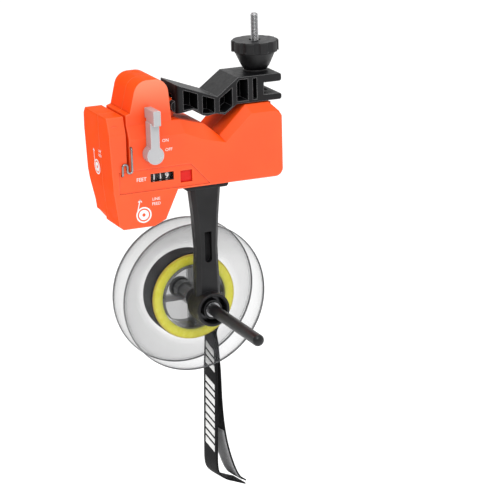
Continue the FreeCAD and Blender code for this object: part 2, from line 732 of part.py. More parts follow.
def add_bosses(shell, front):
    """Screw bosses, the stud's boss, the hinge lug, the arm's socket and the bearings."""
    inner = "half_depth - wall + 0.1"
    low = "half_depth - bevel_depth - wall + 0.1" if front else inner
    behind = inner if front else "block_back - wall + 0.1"
    for reach, (x, z) in zip((behind, inner, inner, inner, low, inner), SCREWS):
        start, end = spread(front, "0", reach)
        shell.pad("XZ", start, end, circles=[(x, z, "boss_radius")])
    boss_start, boss_end = spread(front, "0", "stud_boss_half")
    shell.pad("XZ", boss_start, boss_end, [STUD_BOSS])
    lug_start, lug_end = spread(front, "0", "hinge_lug_half")
    shell.pad("XZ", lug_start, lug_end, [LUG])
    shell.pad("XZ", lug_start, lug_end, circles=[("hinge_x", "hinge_z", "hinge_lug_radius")])
    shell.pocket("XZ", lug_start, lug_end,
                 circles=[("hinge_x", "hinge_z", "hinge_pin_radius + insert_gap")])
    # stud: round hole upwards, pocket for the head
    shell.pocket("XY", "stud_head_z", "right_top + 1",
                 circles=[("stud_x", "0", "stud_radius + stud_gap")])
    head = "(stud_head_half + stud_gap)"
    head_start, head_end = spread(front, "0", head + " * 1.1547")
    shell.pocket("XZ", head_start, head_end,
                 [rectangle("stud_x - " + head, "stud_head_z - stud_gap",
                            "stud_x + " + head, "stud_head_z + stud_head_height + stud_gap")])


def front_housing():
    """Front shell with the counter panel, the line guide and the lever's bearing."""
    shell = housing_shell("front_housing", True)
    inner = "-half_depth + wall"
    panel = [("panel_left", "panel_bottom"), ("panel_right", "panel_bottom"),
             ("panel_corner", "panel_top"), ("panel_left", "panel_top")]
    shell.pocket("XZ", "-half_depth - 1", PANEL_FACE, [panel])
    window = rectangle("window_left", "window_low", "window_right", "window_high")
    button = rectangle("button_left", "button_low", "button_right", "button_high")
    shell.pocket("XZ", "-half_depth", inner + " + 0.5", [window, button])
    # bearings of the measuring shaft and of the lever's shaft
    shell.pad("XZ", inner + " - 0.1", inner + " + 2",
              circles=[("wheel_x", "wheel_z", "boss_radius")])
    shell.pocket("XZ", "-" + MSHAFT_END + " - 0.2", inner + " + 3",
                 circles=[("wheel_x", "wheel_z", "mshaft_radius + mshaft_gap")])
    shell.pad("XZ", inner + " - 0.1", inner + " + 3",
              circles=[("lever_x", "lever_z", "shaft_radius * 2.2")])
    shell.pocket("XZ", "-half_depth - 1", inner + " + 4",
                 circles=[("lever_x", "lever_z", "shaft_radius + shaft_gap")])
    # pilot holes for the closing screws
    shell.pocket("XZ", "-screw_reach - 0.3", "0",
                 circles=[(x, z, "screw_radius + 0.03") for x, z in SCREWS])
    # guide wire's two ends
    shell.pocket("XZ", "-half_depth - 1", inner,
                 circles=[(GUIDE_RIGHT_X, "wire_top", "wire_radius + 0.05"),
                          (GUIDE_LEFT_X, "wire_end", "wire_radius + 0.05")])
    # socket for the arm's tongue
    socket(shell, True)
    return shell


def rear_housing():
    """Back shell: screw heads, rear bearings, feed opening."""
    shell = housing_shell("rear_housing", False)
    inner = "half_depth - wall"
    shell.pad("XZ", inner + " - 7", inner + " + 0.1",
              circles=[("wheel_x", "wheel_z", "boss_radius")])
    shell.pocket("XZ", inner + " - 8", MSHAFT_END + " + 0.2",
                 circles=[("wheel_x", "wheel_z", "mshaft_radius + mshaft_gap")])
    shell.pad("XZ", "cam_front + cam_height + 1.5", inner + " + 0.1",
              circles=[("lever_x", "lever_z", "shaft_radius * 2.2")])
    shell.pocket("XZ", "cam_front + cam_height", "half_depth - shaft_end_wall + 0.3",
                 circles=[("lever_x", "lever_z", "shaft_radius + shaft_gap")])
    # room for the roller, and the post that the pressure spring leans on
    shell.pocket("XZ", "wheel_front - 0.8", "wheel_front + wheel_width + 0.8",
                 circles=[(ROLLER_X + " - roller_out", "wheel_z + roller_up",
                           "roller_radius + roller_room")])
    shell.pad("XZ", "crank_front - 1.5", inner + " + 0.1",
              [rectangle("post_x", "post_z - seat_half - 0.6", "post_x + 1.6",
                         "post_z + seat_half + 0.6")])
    shell.pad("XZ", "crank_front + crank_height + 0.4", inner + " + 0.1",
              circles=[("pivot_x", "pivot_z", "pivot_radius * 2")])
    shell.pocket("XZ", "crank_front + crank_height", inner + " - 1",
                 circles=[("pivot_x", "pivot_z", "pivot_radius + 0.02")])
    # closing screws: clearance holes and seats for their heads
    shell.pocket("XZ", "0", "half_depth + 1",
                 circles=[(x, z, "screw_radius + screw_gap") for x, z in SCREWS])
    shell.pocket("XZ", "half_depth - screw_head_height - 1.5", "block_back + 1",
                 circles=[(x, z, "screw_head + screw_gap") for x, z in SCREWS])
    # feed eyelet in the underside
    shell.pocket("XY", "lower_bottom - 1", "lower_bottom + wall + 1",
                 circles=[("eyelet_x", "eyelet_y", "eyelet_outer + 0.05")])
    # way for the line through the floor of the slot
    shell.pocket("XY", "slot_bottom - slot_wall - 1", "slot_bottom + 1",
                 [rectangle("slot_left", "wheel_front", "slot_right",
                            "wheel_front + wheel_width")])
    return shell


def socket(shell, front):
    """Opening in the underside that takes the arm's tongue, with walls round it."""
    left = "arm_x - tenon_half - tenon_gap"
    right = "arm_x + tenon_half + tenon_gap"
    shell.pad("XY", "body_bottom", "tenon_top + 2",
              [rectangle(left + " - 2", "tenon_front - 2", right + " + 2", "-0.2")])
    shell.pocket("XY", "body_bottom - 1", "tenon_top + 0.2",
                 [rectangle(left, "tenon_front - tenon_gap", right, "tenon_back + tenon_gap")])
    shell.pocket("XZ", "tenon_back - 1", "1",
                 circles=[("arm_x + %d * arm_screw_spacing / 2" % side, "arm_screw_z",
                           "screw_head + screw_gap") for side in (-1, 1)])
    shell.pocket("XZ", "tenon_front - 1.9", "tenon_back",
                 circles=[("arm_x + %d * arm_screw_spacing / 2" % side, "arm_screw_z",
                           "screw_radius + 0.03") for side in (-1, 1)])


def closing_screws():
    """Screws from the back, one solid for each boss."""
    solids = []
    for x, z in SCREWS:
        head = doc.addObject("Part::Cylinder", "ScrewHead")
        bind(head, "Radius", "screw_head")
        bind(head, "Height", "screw_head_height")
        shank = doc.addObject("Part::Cylinder", "ScrewShank")
        bind(shank, "Radius", "screw_radius")
        bind(shank, "Height", "screw_reach + half_depth - 1.6")
        for one in (head, shank):
            one.Placement = Placement(Vector(), Rotation(ALONG_Z, -ALONG_Y))
            for axis, text in zip("xyz", (x, "half_depth - 1.5", z)):
                bind(one, "Placement.Base." + axis, text)
        made = doc.addObject("Part::Fuse", "Screw")
        made.Base, made.Tool = head, shank
        solids.append(made)
    group = doc.addObject("Part::Compound", "housing_screws")
    group.Links = solids
    group.Label = "housing_screws"
    parts.append(group)


GUIDE_RIGHT_X = "slot_right + wire_radius + 0.4"
GUIDE_LEFT_X = "slot_right + wire_radius + 0.4 - 2 * wire_run"


def line_guide_wire():
    """Open wire hook in front of the slot; its two ends sit in the front wall."""
    face = -size("half_depth")
    y = face - size("wire_stand")
    inside = face + size("wire_depth")
    right = size("slot_right") + size("wire_radius") + 0.4
    run = size("wire_run")
    path = [Vector(right, inside, size("wire_top")), Vector(right, y, size("wire_top")),
            Vector(right, y, size("wire_low")), Vector(right - run, y, size("wire_low")),
            Vector(right - run, y, size("wire_hook_top")),
            Vector(right - 2 * run, y, size("wire_hook_top")),
            Vector(right - 2 * run, y, size("wire_end")),
            Vector(right - 2 * run, inside, size("wire_end"))]
    swept("line_guide_wire", path, size("wire_radius"), run * 0.45)


def swept(label, path, radius, bend):
    """Round wire along straight runs joined by tangent arcs."""
    edges, here = [], path[0]
    for before, corner, after in zip(path, path[1:], path[2:]):
        into = (corner - before).normalize()
        out = (after - corner).normalize()
        reach = min(bend, (corner - before).Length * 0.45, (after - corner).Length * 0.45)
        start, end = corner - into * reach, corner + out * reach
        towards = (out - into).normalize()
        half = into.getAngle(out) / 2
        centre = corner + towards * (reach / math.sin(half))
        arc_radius = reach / math.tan(half)
        edges.append(Part.LineSegment(here, start).toShape())
        edges.append(Part.Arc(start, centre - towards * arc_radius, end).toShape())
        here = end
    edges.append(Part.LineSegment(here, path[-1]).toShape())
    spine = Part.Wire(edges)
    ring = Part.Wire(Part.Circle(path[0], path[1] - path[0], radius).toShape())
    wire = doc.addObject("Part::Feature", label)
    wire.Shape = spine.makePipeShell([ring], True, False)
    wire.Label = label
    parts.append(wire)


def coil(label, place, turn, length, radius, wire_radius, turns, sides=4):
    """Open coil spring along the piece's own Z axis."""
    spring = Piece(label, place, turn)
    angles = [step * math.tau / sides for step in range(sides)]
    section = [("%s + %s * %.4f" % (radius, wire_radius, math.cos(angle)),
                "%s * %.4f" % (wire_radius, math.sin(angle))) for angle in angles]
    wire = spring.sketch("XZ", "0", [section])
    doc.recompute()
    helix = spring.body.newObject("PartDesign::AdditiveHelix", "Coil")
    helix.Profile = wire
    helix.ReferenceAxis = (wire, ["V_Axis"])
    helix.Mode = "height-turns-angle"
    bind(helix, "Height", length)
    bind(helix, "Turns", turns)
    spring.body.Tip = helix


# ---------------------------------------------------------------- clamp

def clamp_bar():
    """Ribbed bar: hinged at the left, saddle over the rod, fork round the stud."""
    bar = Piece("clamp_bar")
    low, high = "-bar_half_depth", "bar_half_depth"
    outline = [("bar_left", "bar_left_top"), ("bar_valley_x", "bar_valley_z"),
               ("bar_knee_x", "bar_top"), ("bar_right", "bar_top"),
               ("bar_right", "tine_upper"), ("bar_web_end", "tine_upper"),
               ("bar_web_end", "tine_lower"), ("bar_right", "tine_lower"),
               ("bar_right", "bar_bottom"), ("bar_low_x", "bar_bottom"),
               ("saddle_right_x", "rod_radius - saddle_gap"), ("saddle_x", SADDLE_Z),
               ("saddle_left_x", "rod_radius - 0.1"), ("arch_x", "rod_radius + 0.7"),
               ("arch_knee_x", "arch_knee_z"), ("arch_end_x", "arch_end_z"),
               ("bar_left", "bar_left_bottom")]
    bar.pad("XZ", low, high, [outline])
    ends = {size("tine_upper"), size("tine_lower"), size("bar_top"), size("bar_bottom")}
    left, right = size("bar_left"), size("bar_right")
    bar.dress("Fillet", lambda edge: runs_along(edge, ALONG_Y) and near(middle(edge).x, right)
              and any(near(middle(edge).z, z) for z in ends), "bar_round")
    bar.dress("Fillet", lambda edge: runs_along(edge, ALONG_Z) and near(middle(edge).x, left),
              "bar_corner")
    pockets = bar_pockets()
    bar.pocket("XZ", low + " - 1", "-bar_web / 2", pockets)
    bar.pocket("XZ", "bar_web / 2", high + " + 1", pockets)
    # round ears at the left end, with room for the housing's lug between them
    reach = "hinge_x - hinge_ear_radius"
    bar.pad("XZ", "-hinge_ear_half", "hinge_ear_half",
            circles=[("hinge_x", "hinge_z", "hinge_ear_radius")])
    side = "hinge_lug_half + hinge_side_gap"
    bar.pocket("XZ", "-(%s)" % side, side,
               [rectangle(reach + " - 1", "bar_left_bottom - 6", "bar_left + bar_corner",
                          "hinge_z + hinge_ear_radius + 4")])
    bar.pocket("XZ", "-(%s)" % side, side,
               circles=[("hinge_x", "hinge_z", "hinge_lug_radius + 0.5")])
    bar.pocket("XZ", "-hinge_ear_half + hinge_cover", "hinge_ear_half + 1",
               circles=[("hinge_x", "hinge_z", "hinge_pin_radius + hinge_gap")])
    gap = "(stud_radius + stud_slot_gap)"
    bar.pocket("XY", "bar_bottom - 1", "bar_top + 1",
               [rectangle("stud_x - " + gap, "-" + gap, "stud_x + " + gap + " + stud_slot_run",
                          gap)])
    return bar


def bar_pockets():
    """Five pockets between ribs; the first and last corner of each follow the outline."""
    rim = "bar_rim"
    left = "bar_left + bar_corner + bar_rim * 0.8"
    first = [(left, "arch_end_z + 0.4"), ("arch_end_x", "arch_end_z + 0.9"),
             ("arch_x - bar_rib", "arch_knee_z + 1"),
             ("arch_x - bar_rib", "bar_valley_z + 3.7"), (left, "bar_left_top - 3.9")]
    second = [("arch_x", "rod_radius + 1.9"), ("saddle_x - bar_rib / 2 + 0.6", SADDLE_Z + " + 0.6"),
              ("saddle_x - bar_rib / 2 + 0.6", "bar_valley_z - 1.3"),
              ("arch_x", "bar_valley_z + 1.9")]
    third = [("saddle_x + bar_rib * 0.7", SADDLE_Z + " + 0.4"),
             ("saddle_right_x", "rod_radius + 0.9"), ("bar_low_x - bar_rib * 0.9", "bar_bottom - 1.2"),
             ("bar_low_x - bar_rib * 0.9", "bar_top - 7"),
             ("saddle_x + bar_rib * 0.7", "bar_valley_z - 1.7")]
    fourth = [("bar_low_x + 0.3", "bar_bottom + " + rim),
              ("bar_low_x + 9.1", "bar_bottom + " + rim),
              ("bar_low_x + 9.1", "bar_top - " + rim), ("bar_knee_x + 0.6", "bar_top - " + rim),
              ("bar_low_x + 0.3", "bar_top - 4.3")]
    fifth = rectangle("bar_low_x + 12.9", "bar_bottom + " + rim, "bar_low_x + 16.1",
                      "bar_top - " + rim)
    return [first, second, third, fourth, fifth]


def clamp_hardware():
    """Hinge pin, stud with its head, washer, knob and the knob's threaded insert."""
    length = "2 * hinge_ear_half - hinge_cover - 0.1"
    round_shaft("hinge_pin", ("hinge_x", "-hinge_ear_half + hinge_cover + 0.1", "hinge_z"), TO_Y,
                "hinge_pin_radius", length)
    stud = Piece("clamp_stud", ("stud_x", "0", "0"))
    flat = "stud_head_half"
    stud.pad("XY", "stud_head_z", "stud_head_z + stud_head_height",
             [[("-" + flat, "-%s * 0.57735" % flat), ("0", "-%s * 1.1547" % flat),
               (flat, "-%s * 0.57735" % flat), (flat, "%s * 0.57735" % flat),
               ("0", "%s * 1.1547" % flat), ("-" + flat, "%s * 0.57735" % flat)]])
    stud.pad("XY", "stud_head_z", "stud_top", circles=[("0", "0", "stud_radius")])
    top = size("stud_top")
    stud.dress("Chamfer", lambda edge: near(middle(edge).z, top), "stud_radius * 0.25")
    washer = Piece("clamp_washer", ("stud_x", "0", WASHER_Z))
    washer.turned([("stud_radius + stud_slot_gap", "0"), ("washer_radius", "0"),
                   ("washer_radius", "washer_height"),
                   ("stud_radius + stud_slot_gap", "washer_height")])


def clamp_knob():
    """Hand knob: a bell below a lobed head."""
    knob = Piece("clamp_knob", ("stud_x", "0", KNOB_Z))
    base = "(%s)" % KNOB_Z
    knob.turned([("insert_radius + insert_gap", "0"), ("knob_neck_radius", "0"),
                 ("knob_waist_radius", "knob_waist_z - " + base),
                 ("knob_bell_radius", "knob_head_z - 1.2 - " + base),
                 ("knob_bell_radius", "knob_head_z - " + base),
                 ("knob_radius", "knob_head_z - " + base),
                 ("knob_radius", "knob_top - 0.8 - " + base),
                 ("knob_radius - 0.8", "knob_top - " + base),
                 ("knob_recess_radius", "knob_top - " + base),
                 ("knob_recess_radius", "knob_top - knob_recess_depth - " + base),
                 ("insert_radius + insert_gap", "knob_top - knob_recess_depth - " + base)])
    lobe = knob.pocket("XY", "knob_head_z - 0.5 - " + base, "knob_top + 1 - " + base,
                       circles=[("knob_radius + lobe_cut_radius - lobe_cut_depth", "0",
                                 "lobe_cut_radius")])
    knob.polar(lobe, "knob_lobes")
    insert = Piece("knob_insert", ("stud_x", "0", KNOB_Z))
    insert.turned([("stud_radius + thread_gap", "0"), ("insert_radius", "0"),
                   ("insert_radius", "knob_top - knob_recess_depth - " + base),
                   ("stud_radius + thread_gap", "knob_top - knob_recess_depth - " + base)])


# ---------------------------------------------------------------- arm and spindle

def spool_arm():
    """Arm under the housing, with a round boss that carries the spindle."""
    arm = Piece("spool_arm")
    back = "arm_front + arm_depth"

    def across(half, side):
        return "arm_x %s %s" % ("+" if side > 0 else "-", half)

    stations = [("neck_half_top", "body_bottom - foot_height / 2"),
                ("neck_half_mid", "neck_mid_z"), ("neck_half_waist", "neck_waist_z"),
                ("neck_half_low", "neck_low_z"), ("neck_half_low", "spindle_z")]
    outline = ([(across(half, 1), z) for half, z in stations]
               + [(across(half, -1), z) for half, z in reversed(stations)])
    arm.pad("XZ", "arm_front", back, [outline])
    front = size("arm_front")
    low, high = size("spindle_z") + 1, size("body_bottom") - size("foot_height")
    arm.dress("Chamfer", lambda edge: near(middle(edge).y, front)
              and low < middle(edge).z < high and abs(middle(edge).x - size("arm_x")) > 6,
              "arm_chamfer")
    arm.pad("XY", "body_bottom - foot_height", "body_bottom - face_gap",
            [rectangle(across("foot_half_width", -1), "arm_front - 0.5",
                       across("foot_half_width", 1), "foot_back")])
    foot = size("body_bottom") - size("foot_height")
    side = size("foot_half_width") - 1
    arm.dress("Fillet", lambda edge: near(middle(edge).z, foot) and runs_along(edge, ALONG_Y)
              and abs(middle(edge).x - size("arm_x")) > side, "foot_round")
    arm.pad("XZ", "boss_front", "boss_back", circles=[("arm_x", "spindle_z", "boss_outer")])
    arm.pad("XZ", "boss_back", "nose_back", circles=[("arm_x", "spindle_z", "nose_radius")])
    arm.pad("XY", "body_bottom - foot_height", "tenon_top",
            [rectangle(across("tenon_half", -1), "tenon_front", across("tenon_half", 1),
                       "tenon_back")])
    arm.pocket("XZ", "arm_front - 1", "arm_front + groove_depth",
               [rectangle(across("groove_half", -1), "groove_low", across("groove_half", 1),
                          "groove_top")])
    arm.pocket("XZ", "arm_front - 1", "arm_front + groove_depth",
               circles=[("arm_x", "groove_low", "groove_half")])
    arm.pocket("XZ", "boss_front - 1", "boss_front + boss_recess",
               circles=[("arm_x", "spindle_z", "boss_bore")])
    arm.pocket("XZ", "boss_front + boss_recess - 1", "boss_back",
               circles=[("arm_x", "spindle_z", "bush_outer + bush_gap")])
    arm.pocket("XZ", "boss_back - 1", "nose_back + 1",
               circles=[("arm_x", "spindle_z", "spindle_radius + 0.25")])
    arm.pocket("XZ", "tenon_front - 1", "tenon_back + 1",
               circles=[("arm_x + %d * arm_screw_spacing / 2" % sign, "arm_screw_z",
                         "screw_radius + screw_gap") for sign in (-1, 1)])
    rim = size("boss_front")
    arm.dress("Fillet", lambda edge: near(middle(edge).y, rim) and len(edge.Vertexes) == 1,
              "edge_round * 0.8")
    return arm


def arm_screws():
    """Two screws through the arm's tongue into the front shell."""
    solids = []
    for side in (-1, 1):
        place = ("arm_x + %d * arm_screw_spacing / 2" % side, "tenon_back + tenon_gap + 0.1",
                 "arm_screw_z")
        head = doc.addObject("Part::Cylinder", "ArmScrewHead")
        bind(head, "Radius", "screw_head")
        bind(head, "Height", "screw_head_height")
        head.Placement = Placement(Vector(), TO_Y)
        shank = doc.addObject("Part::Cylinder", "ArmScrewShank")
        bind(shank, "Radius", "screw_radius")
        bind(shank, "Height", "tenon_back - tenon_front + tenon_gap + 1.8")
        shank.Placement = Placement(Vector(), Rotation(ALONG_Z, -ALONG_Y))
        for one in (head, shank):
            for axis, text in zip("xyz", place):
                bind(one, "Placement.Base." + axis, text)
        made = doc.addObject("Part::Fuse", "ArmScrew")
        made.Base, made.Tool = head, shank
        solids.append(made)
    group = doc.addObject("Part::Compound", "arm_screws")
    group.Links = solids
    group.Label = "arm_screws"
    parts.append(group)


def spindle_set():
    """Spindle, bush, collar, steel ring and the nut behind the spool."""
    on_axis = ("arm_x", "0", "spindle_z")
    spindle = Piece("spindle", on_axis, TO_Y)
    root = "collar_root"
    spindle.turned([("0", "spindle_front"), ("spindle_radius - spindle_tip", "spindle_front"),
                    ("spindle_radius - spindle_tip * 0.3", "spindle_front + spindle_tip * 0.3"),
                    ("spindle_radius", "spindle_front + spindle_tip"),
                    ("spindle_radius", "collar_front"), (root, "collar_front"),
                    (root, "collar_front + collar_height"),
                    ("spindle_radius", "collar_front + collar_height"),
                    ("spindle_radius", "spool_front + spool_width + face_gap"),
                    ("spindle_thread", "spool_front + spool_width + face_gap"),
                    ("spindle_thread", "spindle_back - 1"),
                    ("spindle_thread - 1", "spindle_back"), ("0", "spindle_back")])
    bush = Piece("spindle_bush", on_axis, TO_Y)
    bush.turned([("spindle_radius + spindle_gap", "bush_seat"), ("bush_recess", "bush_seat"),
                 ("bush_recess", "bush_front"), ("bush_outer", "bush_front"),
                 ("bush_outer", "boss_back - face_gap"),
                 ("spindle_radius + spindle_gap", "boss_back - face_gap")])
    collar = Piece("spindle_collar", on_axis, TO_Y)
    collar.turned(rectangle(root + " + 0.02", "collar_front + 0.04", "collar_radius",
                            "collar_front + collar_height - 0.04"))
    ring = Piece("bush_ring", on_axis, TO_Y)
    floor = "boss_front + boss_recess"
    ring.turned(rectangle("bush_outer + 0.1", floor + " - face_gap - ring_height",
                          "boss_bore - 0.1", floor + " - face_gap"))
    washer = Piece("brake_washer", on_axis, TO_Y)
    washer.turned(rectangle("spindle_radius + 0.15", "nose_back + face_gap",
                            "nose_radius - 0.6", "spool_front - face_gap"))
    nut = Piece("spool_nut", on_axis, TO_Y)
    start = "spool_front + spool_width + 3 * face_gap"
    nut.turned([("spindle_thread + 0.05", start), ("tube_radius - 0.6", start),
                ("nut_radius", start + " + 1.6"), ("nut_radius", start + " + nut_height"),
                ("spindle_thread + 0.05", start + " + nut_height")])
    start = "collar_front + collar_height + spring_wire + face_gap"
    length = "bush_seat - spring_wire - face_gap - (%s)" % start
    coil("tension_spring", ("arm_x", start, "spindle_z"), TO_Y, length, "spring_radius",
         "spring_wire", "spring_turns", 6)


# ---------------------------------------------------------------- spool and strap

def supply_spool():
    """Clear spool: two flanges, a drum and a hub tube with ribs between them."""
    spool = Piece("supply_spool", ("arm_x", "spool_front", "spindle_z"), TO_Y)
    width, web = "spool_width", "spool_web_at"
    bore, tube, drum_in = "spindle_radius + spindle_gap", "tube_radius", "drum_radius - drum_wall"
    rim, inset = "flange_radius - bead_width", "bead - flange_wall"
    spool.turned([(bore, "0"), (tube, "0"), (tube, web), (drum_in, web), (drum_in, inset),
                  (rim, inset), (rim, "0"), ("flange_radius", "0"), ("flange_radius", "bead"),
                  ("drum_radius", "bead"), ("drum_radius", width + " - bead"),
                  ("flange_radius", width + " - bead"), ("flange_radius", width), (rim, width),
                  (rim, width + " - (%s)" % inset), (drum_in, width + " - (%s)" % inset),
                  (drum_in, web + " + spool_web"), (tube, web + " + spool_web"), (tube, width),
                  (bore, width)])
    rib = spool.pad("XY", "1", web + " + 0.2",
                    [rectangle(tube + " - 0.3", "-rib_half", drum_in + " + 0.3", "rib_half")])
    spool.polar(rib, "spool_ribs")
    line = Piece("wound_line", ("arm_x", "spool_front", "spindle_z"), TO_Y)
    low, high = "bead + line_gap", width + " - bead - line_gap"
    line.turned([("drum_radius + line_gap / 3", low), ("line_radius - line_crown", low),
                 ("line_radius", low + " + 3"), ("line_radius", high + " - 3"),
                 ("line_radius - line_crown", high), ("drum_radius + line_gap / 3", high)])


def spool_strap():
    """Elastic band round the wound line; its two ends hang down between the flanges."""
    low = "spool_front + bead + strap_side_gap"
    high = "spool_front + spool_width - bead - strap_side_gap"
    strap = Piece("spool_strap")
    inner, outer = "line_radius + strap_gap", "line_radius + strap_gap + strap_thickness"
    strap.pad("XZ", low, high, circles=[("arm_x", "spindle_z", outer)])
    top = "spindle_z - drum_radius"
    tape = " + strap_thickness"
    strap.pad("XZ", low, high, [[
        ("strap_left_x", top), ("strap_bend_x", "strap_bend_z"),
        ("strap_round_x", "strap_round_z"), ("strap_turn_x", "strap_turn_z"),
        ("strap_end_x", "strap_end_z"), ("strap_end_x", "strap_end_z" + tape),
        ("strap_turn_x + 0.6", "strap_turn_z" + tape), ("strap_round_x + 1", "strap_round_z + 1"),
        ("strap_bend_x" + tape, "strap_bend_z"), ("strap_left_x" + tape, top)]])
    strap.pad("XZ", low, high, [[
        ("strap_right_x", top), ("strap_mid_x", "strap_mid_z"),
        ("strap_outer_x", "strap_outer_z"), ("strap_low_x", "strap_low_z"),
        ("strap_end_x + 1", "strap_end_z + strap_rise"),
        ("strap_end_x + 2", "strap_end_z + strap_rise + 0.8"),
        ("strap_low_x" + tape, "strap_low_z + 0.8"), ("strap_outer_x" + tape, "strap_outer_z"),
        ("strap_mid_x" + tape, "strap_mid_z"), ("strap_right_x" + tape, top)]])
    strap.pocket("XZ", low + " - 1", high + " + 1", circles=[("arm_x", "spindle_z", inner)])


# ---------------------------------------------------------------- lever and pressure roller

def tension_lever():
    """Chrome lever: a disc on the shaft, a neck and a deep thumb block."""
    lever = Piece("tension_lever")
    back = "-half_depth - lever_gap"
    lever.pad("XZ", LEVER_FRONT, back, circles=[("lever_x", "lever_z", "lever_disc")])
    lever.pad("XZ", LEVER_FRONT, back,
              [rectangle("lever_x - lever_neck_half", "lever_z", "lever_x + lever_neck_half",
                         "lever_step_z + 1")])
    lever.pad("XZ", "-half_depth - lever_block_reach", "-half_depth + lever_block_behind",
              [rectangle("lever_x - lever_block_half", "lever_step_z + 3.5",
                         "lever_x + lever_block_half", "lever_top_z")])
    lever.pad("XZ", "-half_depth - lever_block_reach", back,
              [rectangle("lever_x - lever_block_half", "lever_step_z",
                         "lever_x + lever_block_half", "lever_step_z + 4")])
    lever.pocket("XZ", LEVER_FRONT + " + 1.5", back + " + 1",
                 circles=[("lever_x", "lever_z", "shaft_radius + insert_gap")])
    top = size("lever_top_z")
    lever.dress("Fillet", lambda edge: near(middle(edge).z, top), "lever_round")
    start = LEVER_FRONT + " + 1.6"
    round_shaft("lever_shaft", ("lever_x", start, "lever_z"), TO_Y, "shaft_radius",
                "half_depth - shaft_end_wall - (%s)" % start)
    lever_cam()


def lever_cam():
    """Cam whose radius grows as the lever is turned, so that it pushes the follower down."""
    cam = Piece("lever_cam", ("lever_x", "cam_front", "lever_z"), TO_Y)
    swing = size("lever_swing")
    cam.pad("XY", "0", "cam_height", circles=[("0", "0", "cam_base - 0.8")])
    # the follower is straight below the shaft; the piece's own X points right, its Y down
    points = [("0", "0")]
    for turn, share, rise in ([(112, 0.9, 0)] + [(90 - swing * step / 6, 1, step / 6)
                                                 for step in range(7)] + [(22, 0.9, 1)]):
        radius = "(cam_base * %.2f + cam_rise * %.4f)" % (share, rise)
        points.append(("%s * %.5f" % (radius, math.cos(math.radians(turn))),
                       "%s * %.5f" % (radius, math.sin(math.radians(turn)))))
    cam.pad("XY", "0", "cam_height", [points])
    cam.pocket("XY", "-1", "cam_height + 1", circles=[("0", "0", "shaft_radius + insert_gap")])


def pressure_arm():
    """Bell crank that holds the roller against the measuring wheel."""
    crank = Piece("pressure_arm")
    back = "crank_front + crank_height"
    follower_z = "lever_z - follower_drop"
    plate = [("lever_x - 1.3", follower_z), ("lever_x + 1.1", follower_z + " - 0.6"),
             ("pivot_x + crank_half", "pivot_z - crank_half * 0.6"),
             ("pivot_x - crank_half * 0.6", "pivot_z - crank_half * 1.4"),
             (ROLLER_X + " + crank_half * 0.6", "wheel_z - crank_half * 0.9"),
             (ROLLER_X + " - crank_half * 0.6", "wheel_z + crank_half * 0.9"),
             ("pivot_x - crank_half * 0.8", "pivot_z + crank_half * 0.8")]
    crank.pad("XZ", "crank_front", back, [plate])
    crank.pad("XZ", "crank_front", back,
              [rectangle("seat_x - 3.8", "post_z - seat_half", "seat_x", "post_z + seat_half")])
    crank.pad("XZ", "crank_front", back,
              circles=[("pivot_x", "pivot_z", "pivot_radius + 1.5")])
    crank.pad("XZ", "crank_front", back,
              circles=[(ROLLER_X, "wheel_z", "axle_radius + 1.3")])
    crank.pocket("XZ", "crank_front - 1", back + " + 1",
                 circles=[("pivot_x", "pivot_z", "pivot_radius + 0.06")])
    crank.pocket("XZ", "crank_front - 1", back + " + 1",
                 circles=[(ROLLER_X, "wheel_z", "axle_radius + insert_gap")])
    round_shaft("pressure_pivot", ("pivot_x", "crank_front - 1", "pivot_z"), TO_Y,
                "pivot_radius", "half_depth - wall - 1.1 - (crank_front - 1)")
    round_shaft("roller_axle", (ROLLER_X, "wheel_front - 1", "wheel_z"), TO_Y, "axle_radius",
                "crank_front + crank_height - wheel_front + 1")
    roller = Piece("pressure_roller", (ROLLER_X, "wheel_front + 0.2", "wheel_z"), TO_Y)
    roller.turned([("axle_radius + 0.06", "0"), ("roller_radius - 0.5", "0"),
                   ("roller_radius", "0.5"), ("roller_radius", "wheel_width - 0.9"),
                   ("roller_radius - 0.5", "wheel_width - 0.4"),
                   ("axle_radius + 0.06", "wheel_width - 0.4")])
    start = "seat_x + press_wire + face_gap"
    end = "post_x - press_wire - face_gap"
    coil("pressure_spring", (start, "crank_front + crank_height / 2", "post_z"), TO_X,
         "%s - (%s)" % (end, start), "press_radius", "press_wire", "press_turns")


# ---------------------------------------------------------------- counter

def measuring_wheel():
    """Wheel that the line turns, its rubber tyre, its shaft and the worm on the shaft."""
    place = ("wheel_x", "wheel_front", "wheel_z")
    wheel = Piece("measuring_wheel", place, TO_Y)
    inner = "wheel_radius - tyre"
    bore = "mshaft_radius + insert_gap"
    hub = "wheel_hub"
    wheel.turned([(bore, "0"), (hub, "0"), (hub, "2"), (inner + " - 2", "2"),
                  (inner + " - 2", "0"), (inner, "0"), (inner, "wheel_width"),
                  (inner + " - 2", "wheel_width"), (inner + " - 2", "wheel_width - 2"),
                  (hub, "wheel_width - 2"), (hub, "wheel_width"), (bore, "wheel_width")])
    hole = wheel.pocket("XY", "-1", "wheel_width + 1", circles=[("wheel_hole_at", "0", "wheel_hole")])
    wheel.polar(hole, "5")
    tyre = Piece("wheel_tyre", place, TO_Y)
    tyre.turned([(inner + " + insert_gap", "0"), ("wheel_radius", "0"), ("wheel_radius", "1.5"),
                 ("wheel_radius - tyre_groove", "wheel_width / 2"),
                 ("wheel_radius", "wheel_width - 1.5"), ("wheel_radius", "wheel_width"),
                 (inner + " + insert_gap", "wheel_width")])
    round_shaft("measuring_shaft", ("wheel_x", "-" + MSHAFT_END, "wheel_z"), TO_Y,
                "mshaft_radius", "2 * " + MSHAFT_END)
    worm()


